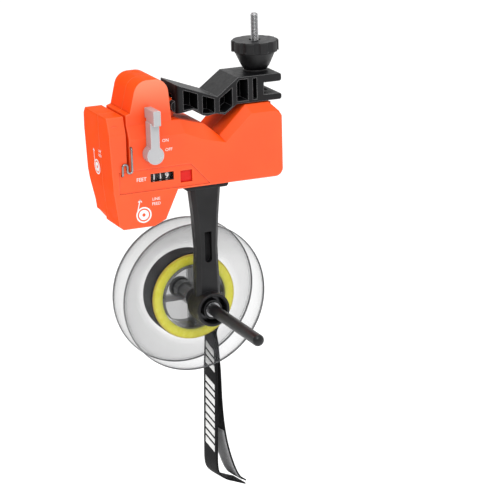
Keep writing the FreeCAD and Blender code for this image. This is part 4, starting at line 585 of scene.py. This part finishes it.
def smooth_path(knots, step):
    """Evenly spaced points on a Catmull-Rom curve through the knots."""
    ends = [knots[0] * 2 - knots[1]] + knots + [knots[-1] * 2 - knots[-2]]
    fine, parts = [], 16
    for a, b, c, d in zip(ends, ends[1:], ends[2:], ends[3:]):
        for i in range(parts):
            t = i / parts
            fine.append(0.5 * (2 * b + (c - a) * t + (2 * a - 5 * b + 4 * c - d) * t * t
                               + (3 * b - a - 3 * c + d) * t ** 3))
    fine.append(knots[-1])
    out, left = [fine[0]], step
    for a, b in zip(fine, fine[1:]):
        run = (b - a).length
        while run >= left and run > 0:
            a = a + (b - a) * (left / run)
            out.append(a)
            run = (b - a).length
            left = step
        left -= run
    if (out[-1] - fine[-1]).length < step * 0.4:
        out.pop()
    return out + [fine[-1]]


# ------------------------------------------------------------------ wound line, spool, spindle

def on_spindle(radius, angle, depth):
    """Point at a radius, angle and depth round the spindle's axis."""
    return Vector((SPINDLE_X + radius * math.cos(angle), depth,
                   SPINDLE_Z + radius * math.sin(angle)))


def scallops(start, end, out):
    """Half-round bumps, one for each turn of line, along a side of the winding."""
    pitch, rise = 0.5 * MM, 0.16 * MM
    run = end - start
    turns = max(1, round(run.length / pitch))
    points = []
    for i in range(turns):
        lift = rise * (0.8 + 0.4 * random.random())
        for t, high in ((0.0, 0.0), (0.28, 0.85), (0.5, 1.0), (0.72, 0.85)):
            spot = start + run * ((i + t) / turns) + out * (lift * high)
            points.append((spot.x, spot.y))
    return points


def wound_line():
    """The wound line as stacked turns: a scalloped ring between the flanges."""
    random.seed(11)
    low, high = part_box("wound_line")
    inner, outer = 25.1 * MM, 31.25 * MM
    lip = 32.75 * MM  # the turns heap up behind the front flange
    front, back = low.y + 0.25 * MM, high.y - 0.25 * MM
    corners = [Vector((inner, front)), Vector((lip - 0.3 * MM, front)),
               Vector((lip, front + 1.2 * MM)), Vector((outer, front + 1.8 * MM)),
               Vector((outer, back - 2.5 * MM)), Vector((outer - 0.5 * MM, back)),
               Vector((inner, back))]
    profile = []
    for a, b in zip(corners, corners[1:]):
        along = (b - a).normalized()
        profile += scallops(a, b, Vector((along.y, -along.x)))
    profile += [(inner, back), (inner, (front + back) / 2)]
    points, faces = turned(profile, 120, on_spindle)
    ring = piece("line_turns", points, faces, LOOKS["line"], "spool")
    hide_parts("wound_line")


def spool_edges():
    """Thin grey beads on the four corners of the flanges' rims: painted shade for the dark lines
    that refraction draws there in clear plastic.
    """
    low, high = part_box("supply_spool")
    reach, wire = 56.25 * MM, 0.27 * MM
    outside, inside = 0.35 * MM, 1.75 * MM
    depths = (low.y + outside, low.y + inside, high.y - inside, high.y - outside)
    for number, depth in enumerate(depths, 1):
        profile = [(reach + a, depth + b) for a, b in ring_of(8, wire)]
        points, faces = turned(profile, 128, on_spindle)
        piece("spool_edge_%d" % number, points, faces, RIM_SHADE, "spool")


def spindle_rod():
    """Spindle with a domed tip, a groove for its collar and a cut thread at the back."""
    low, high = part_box("spindle")
    radius, tip, root = 4.35 * MM, 3.2 * MM, 3.6 * MM
    centre = 0.02 * MM  # a hair off the axis, so that no face has a side of no length
    groove, groove_end = low.y + 83.8 * MM, low.y + 83.8 * MM + 1.0 * MM
    steps = 10
    profile = [(centre, low.y)]
    for step in range(1, steps + 1):
        run = tip * (step / steps) ** 1.6
        profile.append((radius * math.sqrt(max(0.0, 1 - (1 - run / tip) ** 2)), low.y + run))
    thread_from, crest, deep, pitch = 34.65 * MM, 3.9 * MM, 0.45 * MM, 1.0 * MM
    profile += [(radius, groove), (root, groove), (root, groove_end), (radius, groove_end),
                (radius, thread_from)]
    for turn in range(int((high.y - pitch - thread_from) / pitch)):
        start = thread_from + turn * pitch
        profile += [(crest - deep, start + 0.15 * pitch), (crest, start + 0.5 * pitch),
                    (crest - deep, start + 0.85 * pitch)]
    profile += [(crest - 1.0 * MM, high.y), (centre, high.y)]
    points, faces = turned(profile, 48, on_spindle)
    rod = piece("spindle_rod", points, faces, LOOKS["black_steel"], "spindle")
    sharp_edges(rod, 50)
    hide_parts("spindle")


# ------------------------------------------------------------------ strap

STRAP_Y = (12.5 * MM, 32.0 * MM)  # front and back edge
STRAP_HALF = 0.62 * MM  # half the thickness
RING = 32.62 * MM  # radius round the winding
RING_FROM, RING_TURN, RING_STEPS = -69, 340, 32
RING_BACK = 2.0 * MM  # how much farther back the front edge lies round the winding
TWIST = 2.6 * MM  # how far the tails turn over their width
PATH_STEP = 1.6 * MM
BARS = ((44, 5.2), (51, 3.6), (56.4, 5.2), (63.4, 3.6), (68.8, 5.2), (75.8, 3.6), (81.2, 5.2),
        (88.2, 3.6), (93.6, 4.4), (108, 5.2), (115, 3.6), (120.4, 5.2))  # start and length, mm
BAR_ACROSS, BAR_SLANT = 13.5 * MM, 0.35


def strap_centre():
    """Middle line of the band: left tail, once round the winding, right tail."""
    knots = [(25.0, -293.4), (20.4, -291.6), (15.4, -289.5), (10.6, -287.6), (6.4, -284.6),
             (3.6, -280.6), (2.5, -275.0), (2.5, -266.0), (2.9, -250.0), (3.6, -228.0),
             (4.3, -200.0), (4.6, -180.0), (4.6, -171.0), (3.7, -168.1)]
    points = [Vector((x * MM, z * MM)) for x, z in knots]
    for step in range(RING_STEPS + 1):
        angle = math.radians(RING_FROM - step * RING_TURN / RING_STEPS)
        points.append(Vector((SPINDLE_X + RING * math.cos(angle),
                              SPINDLE_Z + RING * math.sin(angle))))
    tail = [(6.7, -168.2), (6.5, -174.0), (6.7, -190.0), (7.0, -206.0), (7.4, -223.0),
            (8.5, -240.0), (10.5, -255.0), (13.7, -269.0), (17.7, -281.0), (21.4, -287.6),
            (25.6, -290.9)]
    return points + [Vector((x * MM, z * MM)) for x, z in tail]


PATH = smooth_path(strap_centre(), PATH_STEP)
REACH = [0.0]
for one, other in zip(PATH, PATH[1:]):
    REACH.append(REACH[-1] + (other - one).length)


def along(index):
    """Unit vector along the band at a point of its middle line."""
    return (PATH[min(index + 1, len(PATH) - 1)] - PATH[max(index - 1, 0)]).normalized()


def beside(index):
    """Unit vector across the band's thickness at a point of its middle line."""
    run = along(index)
    return Vector((-run.y, run.x))


def from_spindle(index):
    return (PATH[index] - Vector((SPINDLE_X, SPINDLE_Z))).length


def at_reach(length):
    """Index of the point that lies nearest to a length along the band."""
    return min(range(len(REACH)), key=lambda i: abs(REACH[i] - length))


def lean(index, share):
    """How far the hanging tails turn away to the left towards their back edge."""
    return -TWIST * (share - 0.5) * clamped((from_spindle(index) - 38 * MM) / (26 * MM))


def ribbon(name, first, last, near, far, low, high, finish, columns=10):
    """Part of the band between two offsets from its middle line and two depths."""
    rows = list(range(first, last + 1))
    middle = (near + far) / 2
    spots, uv = [], []
    for index in rows:
        side = beside(index)
        # the band is stretched round the winding, so it is narrower there
        edge_y = low + RING_BACK * clamped((44 * MM - from_spindle(index)) / (8 * MM))
        for offset in (near, far):
            for c in range(columns + 1):
                share = c / columns
                thin = 1 - 0.28 * abs(2 * share - 1) ** 6  # the selvedges are thinner
                spot = PATH[index] + side * (middle + (offset - middle) * thin)
                depth = edge_y + (high - edge_y) * share
                spots.append(Vector((spot.x + lean(index, share), depth, spot.y)))
                uv.append((REACH[index], depth))
    wide, per = columns + 1, 2 * (columns + 1)
    faces = []
    for r in range(len(rows) - 1):
        a, b = r * per, (r + 1) * per
        for c in range(columns):
            faces.append((a + c, a + c + 1, b + c + 1, b + c))
            faces.append((a + wide + c, b + wide + c, b + wide + c + 1, a + wide + c + 1))
        faces.append((a, b, b + wide, a + wide))
        faces.append((a + columns, a + wide + columns, b + wide + columns, b + columns))
    for r in (0, len(rows) - 1):
        a = r * per
        for c in range(columns):
            faces.append((a + c, a + wide + c, a + wide + c + 1, a + c + 1))
    return piece(name, spots, faces, finish, "spindle", uv=uv)


def strap():
    """Band, the rough half of its fastening on the right tail's left face, and its print."""
    band = ribbon("elastic_band", 0, len(PATH) - 1, -STRAP_HALF, STRAP_HALF, *STRAP_Y,
                  LOOKS["band"])
    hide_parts("spool_strap")
    whole, margin = REACH[-1], 1.0 * MM
    ribbon("hook_pad", at_reach(whole - 48 * MM), at_reach(whole - 2 * MM),
           -STRAP_HALF - 0.5 * MM, -STRAP_HALF + 0.05 * MM, STRAP_Y[0] + margin,
           STRAP_Y[1] - margin, HOOK, columns=6)
    print_bars()


def print_bars():
    """Plain slanted bars printed along the left tail in place of any wording."""
    middle = sum(STRAP_Y) / 2
    proud = STRAP_HALF + 0.06 * MM
    columns, rows = 6, 5
    wide = columns + 1
    for number, (start, run) in enumerate(BARS, 1):
        first, last = start * MM, (start + run) * MM
        spots = []
        for r in range(rows + 1):
            for c in range(wide):
                across = (c / columns - 0.5) * BAR_ACROSS
                length = first + (last - first) * r / rows + across * BAR_SLANT
                index = at_reach(length)
                spare = length - REACH[index]
                spot = PATH[index] + along(index) * spare + beside(index) * proud
                share = across / (STRAP_Y[1] - STRAP_Y[0]) + 0.5
                spots.append(Vector((spot.x + lean(index, share), middle + across, spot.y)))
        faces = [(r * wide + c, r * wide + c + 1, (r + 1) * wide + c + 1, (r + 1) * wide + c)
                 for r in range(rows) for c in range(columns)]
        made = piece("strap_bar_%d" % number, spots, faces, PRINT, "spindle")
        thicken(made, 0.04)


# ------------------------------------------------------------------ springs

def spring(name, node, way, radius, wire, turns):
    """Round-wire coil in the place of a packed one."""
    low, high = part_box(node)
    middle = (low + high) / 2
    side = X if abs(way.x) < 0.5 else Z
    other = way.cross(side)
    length = (high - low).dot(way)
    start = middle - way * (length / 2 - wire)
    rows, around = turns * 28, 10
    ground = 0.35  # how much closer the end turns lie
    points, faces = [], []
    for row in range(rows + 1):
        share = row / rows
        angle = math.tau * turns * share
        rise = share - ground * math.sin(math.tau * share) / math.tau
        out = side * math.cos(angle) + other * math.sin(angle)
        spot = start + way * (rise * (length - 2 * wire)) + out * radius
        points += [spot + out * a + way * b for a, b in ring_of(around, wire)]
    for row in range(rows):
        for k in range(around):
            n = (k + 1) % around
            faces.append((row * around + k, row * around + n, (row + 1) * around + n,
                          (row + 1) * around + k))
    faces.append(tuple(range(around)))
    faces.append(tuple(range(rows * around, (rows + 1) * around)))
    made = piece(name, points, faces, LOOKS["spring_steel"], "housing")
    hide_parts(node)
    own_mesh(made)


def springs():
    spring("spindle_coil", "tension_spring", Y, 4.9 * MM, 0.45 * MM, 6)
    spring("button_coil", "reset_spring", Y, 2.6 * MM, 0.3 * MM, 4)
    spring("arm_coil", "pressure_spring", X, 2.0 * MM, 0.3 * MM, 3)


# ------------------------------------------------------------------ threaded stud

STUD_X = 37.5 * MM


def stud():
    """Stud with its rolled thread and the hexagon head that sits in the housing."""
    low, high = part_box("clamp_stud")
    centre = Vector((STUD_X, 0, 0))
    start, top, head_top = 3.4 * MM, high.z, 3.5 * MM
    pitch, radius, depth = 1.0 * MM, 2.93 * MM, 0.55 * MM
    segments, rows_per_turn = 28, 6
    rows = int((top - start) / pitch * rows_per_turn)
    points, faces = [], []
    for r in range(rows + 1):
        z = start + (top - start) * r / rows
        fade = clamped((top - z) / pitch)  # the end is chamfered over one turn
        for s in range(segments):
            angle = math.tau * s / segments
            phase = (z / pitch - s / segments) % 1.0
            deep = depth * clamped(1.15 - 1.3 * abs(2 * phase - 1))
            reach = (radius - deep) * (0.78 + 0.22 * fade)
            points.append(centre + Vector((reach * math.cos(angle), reach * math.sin(angle), z)))
    for r in range(rows):
        for s in range(segments):
            t = (s + 1) % segments
            faces.append((r * segments + s, r * segments + t, (r + 1) * segments + t,
                          (r + 1) * segments + s))
    faces.append(tuple(range(segments)))
    faces.append(tuple(range(rows * segments, (rows + 1) * segments)))
    made = piece("threaded_stud", points, faces, THREAD, "housing")
    corner = 5.0 * MM * 1.1547  # from half the width across the flats
    hexagon = [centre + Vector((corner * math.cos(math.radians(a)),
                                corner * math.sin(math.radians(a)), z))
               for z in (low.z, head_top) for a in range(30, 390, 60)]
    sides = [(i, (i + 1) % 6, (i + 1) % 6 + 6, i + 6) for i in range(6)]
    head = piece("stud_head", hexagon, sides + [tuple(range(6)), tuple(range(6, 12))],
                 LOOKS["bright_steel"], "housing", smooth=False)
    edge = head.modifiers.new("edges", "BEVEL")
    edge.width = 0.3 * MM
    edge.segments = 2
    edge.limit_method = "ANGLE"
    edge.angle_limit = math.radians(35)
    edge.harden_normals = False
    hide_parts("clamp_stud")


# ------------------------------------------------------------------ printed marks

CAPITALS = 0.72  # height of a capital letter as a share of the type's size
PRINT_LIFT, PRINT_THICK = 0.03, 0.05
HOUSING_FRONT, PLATE_FRONT, HOUSING_LEFT = -22, -21.5, -86.3


class Panel:
    """A flat place on the object: its origin, reading direction, up and outward normal."""

    def __init__(self, origin, across, up):
        self.origin = Vector(origin) * MM
        self.across = Vector(across).normalized()
        self.up = Vector(up).normalized()
        self.out = self.across.cross(self.up).normalized()

    def at(self, u, v, lift):
        """Point at u across, v up and a lift off the panel, in mm."""
        return (self.origin + self.across * (u * MM) + self.up * (v * MM)
                + self.out * (lift * MM))


def thin(name, panel, outlines, lift=PRINT_LIFT):
    """Thin printed shapes; each outline is a ring of (u, v) in mm and its hole or None."""
    points, faces = [], []
    for outer, hole in outlines:
        count = len(outer)
        base = len(points)
        for level in (lift, lift + PRINT_THICK):
            for ring in ([outer] if hole is None else [outer, hole]):
                points += [panel.at(u, v, level) for u, v in ring]
        rings = 1 if hole is None else 2
        top = base + count * rings
        for i in range(count):
            k = (i + 1) % count
            faces.append((base + i, base + k, top + k, top + i))
            if hole is not None:
                faces.append((base + count + k, base + count + i, top + count + i,
                              top + count + k))
                faces.append((top + i, top + k, top + count + k, top + count + i))
                faces.append((base + k, base + i, base + count + i, base + count + k))
        if hole is None:
            faces.append(tuple(range(base, base + count)))
            faces.append(tuple(range(top, top + count)))
    piece(name, points, faces, PRINT, "housing", smooth=False)


def circle(u, v, radius):
    return [(u + a, v + b) for a, b in ring_of(32, radius)]


def stroke(u0, v0, u1, v1, wide):
    """Straight stroke between two points."""
    run = Vector((u1 - u0, v1 - v0)).normalized()
    side = Vector((-run.y, run.x)) * (wide / 2)
    return [(u0 + side.x, v0 + side.y), (u0 - side.x, v0 - side.y),
            (u1 - side.x, v1 - side.y), (u1 + side.x, v1 + side.y)]


def letters(text, height, bold=0.0):
    """Flat mesh of plain lettering, centred, as (points, faces) in mm."""
    data = bpy.data.curves.new("letters", "FONT")
    data.body = text
    data.size = height / CAPITALS
    data.offset = bold
    data.align_x, data.align_y = "CENTER", "CENTER"
    data.resolution_u = 3
    maker = add_object("letters", data)
    bpy.context.view_layer.update()
    mesh = bpy.data.meshes.new_from_object(maker.evaluated_get(
        bpy.context.evaluated_depsgraph_get()))
    points = [(p.co.x, p.co.y) for p in mesh.vertices]
    faces = [tuple(f.vertices) for f in mesh.polygons]
    bpy.data.meshes.remove(mesh)
    bpy.data.objects.remove(maker)
    bpy.data.curves.remove(data)
    return points, faces


def words(name, panel, text, u, v, height, bold=0.0):
    """Plain lettering, centred at (u, v) in mm on a panel."""
    flat, faces = letters(text, height, bold)
    points = [panel.at(u + a, v + b, 2 * PRINT_LIFT) for a, b in flat]
    made = piece(name, points, faces, PRINT, "housing", smooth=False)
    thicken(made, PRINT_THICK)


def feed_sign(label, panel, u, v, size, tip, captions, height):
    """Bull's-eye for the feeding spool, with its line and arrow, and a plain caption."""
    outer, gap, inner, hole = (radius * size for radius in (5.9, 4.8, 3.8, 1.25))
    thin(label + "_target", panel, [(circle(u, v, outer), circle(u, v, gap)),
                                    (circle(u, v, inner), circle(u, v, hole))])
    du, dv = tip
    strokes = [stroke(u - 4.6 * size, v + 3.4 * size, du, dv, 0.7 * size),
               stroke(du - 1.5 * size, dv - 1.6 * size, du + 0.1, dv + 0.2, 0.6 * size),
               stroke(du + 1.3 * size, dv - 1.7 * size, du - 0.1, dv + 0.2, 0.6 * size)]
    thin(label + "_arrow", panel, [(outline, None) for outline in strokes], PRINT_LIFT + 0.005)
    for number, (text, a, b) in enumerate(captions, 1):
        words("%s_word_%d" % (label, number), panel, text, a, b, height)


def marks():
    """The lever's two settings, the unit of length and the two feeding signs."""
    face = Panel((0, HOUSING_FRONT, 0), X, Z)
    words("on_word", face, "ON", -43.6, -6.4, 2.3)
    words("off_word", face, "OFF", -41.2, -13.3, 2.3)
    plate = Panel((0, PLATE_FRONT, 0), X, Z)
    words("unit_word", plate, "FEET", -62.8, -33.2, 2.7, bold=0.02)
    feed_sign("front_feed", face, -62.1, -59.2, 1.0, (-64.7, -47.9),
              [("LINE", -52.2, -48.5), ("FEED", -52.2, -52.0)], 2.2)
    slope = (86.3 - 84.4) / 38  # the housing's left side leans in towards the top
    side = Panel((HOUSING_LEFT, 0, -2), -Y, (-slope, 0, 1))
    feed_sign("side_feed", side, -8.3, -25.3, 0.95, (-12.7, -12.6),
              [("LINE", -0.4, -12.2), ("FEED", -0.4, -15.4)], 2.0)


# ------------------------------------------------------------------ digits

def digits():
    """Numerals round the three wheels, bent to the wheels' radius."""
    radius, height, bold, strip = 8.43 * MM, 4.1, 0.20, 0.5
    counter_axis = Vector((0, -11 * MM, -33 * MM))
    for label, shown in (("hundreds_wheel", 1), ("tens_wheel", 1), ("units_wheel", 9)):
        low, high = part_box(label)
        middle = (low.x + high.x) / 2
        points, faces = [], []
        for digit in range(10):
            flat, tris = letters(str(digit), height, bold)
            form = bmesh.new()
            corners = [form.verts.new((a, b, 0)) for a, b in flat]
            for tri in tris:
                form.faces.new([corners[i] for i in tri])
            for cut in range(-4, 5):
                bmesh.ops.bisect_plane(form, geom=form.verts[:] + form.edges[:] + form.faces[:],
                                       plane_co=(0, cut * strip, 0), plane_no=(0, 1, 0))
            form.verts.index_update()
            base = len(points)
            turn = math.tau * (digit - shown) / 10
            for spot in form.verts:
                angle = spot.co.y * MM / radius + turn
                points.append(Vector((middle + spot.co.x * MM, 0, 0)) + counter_axis
                              + Vector((0, -radius * math.cos(angle), radius * math.sin(angle))))
            for face in form.faces:
                faces.append(tuple(base + corner.index for corner in face.verts))
            form.free()
        made = piece("%s_numerals" % label.split("_")[0], points, faces, PRINT, label,
                     smooth=False)
        thicken(made, 0.04)


# ------------------------------------------------------------------ screws

def screw(name, seat_at):
    """Pan head with a cross recess on a plain shank, driven in from behind."""
    reach, tip, neck = 28.5 * MM, 1.3 * MM, 1.45 * MM
    radius, height = 2.7 * MM, 2.2 * MM
    arm, half, deep = radius * 0.62, radius * 0.17, height * 0.55
    cross = [(half, arm), (-half, arm), (-half, half), (-arm, half), (-arm, -half),
             (-half, -half), (-half, -arm), (half, -arm), (half, -half), (arm, -half),
             (arm, half), (half, half)]
    form = bmesh.new()

    def ring(shape, level):
        return [form.verts.new(seat_at + X * a - Z * b + Y * level) for a, b in shape]

    def wall(one, two):
        for i in range(len(one)):
            k = (i + 1) % len(one)
            form.faces.new((one[i], one[k], two[k], two[i]))

    shank_end = ring(ring_of(32, tip), -reach)
    shank_top = ring(ring_of(32, neck), 0)
    seat = ring(ring_of(32, radius), 0)
    shoulder = ring(ring_of(32, radius), height * 0.6)
    top = ring(ring_of(32, radius * 0.8), height)
    lip, floor = ring(cross, height), ring(cross, height - deep)
    wall(shank_end, shank_top)
    wall(shank_top, seat)
    wall(seat, shoulder)
    wall(shoulder, top)
    wall(lip, floor)
    form.faces.new(shank_end)
    form.faces.new(floor)
    edges = [form.edges.get((a, b)) or form.edges.new((a, b)) for s in (top, lip)
             for a, b in zip(s, s[1:] + s[:1])]
    bmesh.ops.triangle_fill(form, use_beauty=True, edges=edges)
    bmesh.ops.recalc_face_normals(form, faces=form.faces)
    mesh = bpy.data.meshes.new(name)
    form.to_mesh(mesh)
    form.free()
    mesh.materials.append(LOOKS["screw_steel"])
    made = add_object(name, mesh)
    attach(made, "housing")
    return made


def screws():
    """The six closing screws, by the x and z of their posts in mm."""
    seat_y = 20.5
    spots = ((-81.5, 4), (-68, -62.5), (41.5, -37), (14, -37), (-49.5, 31), (-26.5, -12))
    made = [screw("closing_screw_%d" % number, Vector((x, seat_y, z)) * MM)
            for number, (x, z) in enumerate(spots, 1)]
    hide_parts("housing_screws")


# ------------------------------------------------------------------ make it all

make_camera()
make_light()
make_floor()
dress_nodes()
wound_line()
spool_edges()
spindle_rod()
strap()
springs()
stud()
marks()
digits()
screws()
bpy.context.scene.view_settings.view_transform = "Standard"
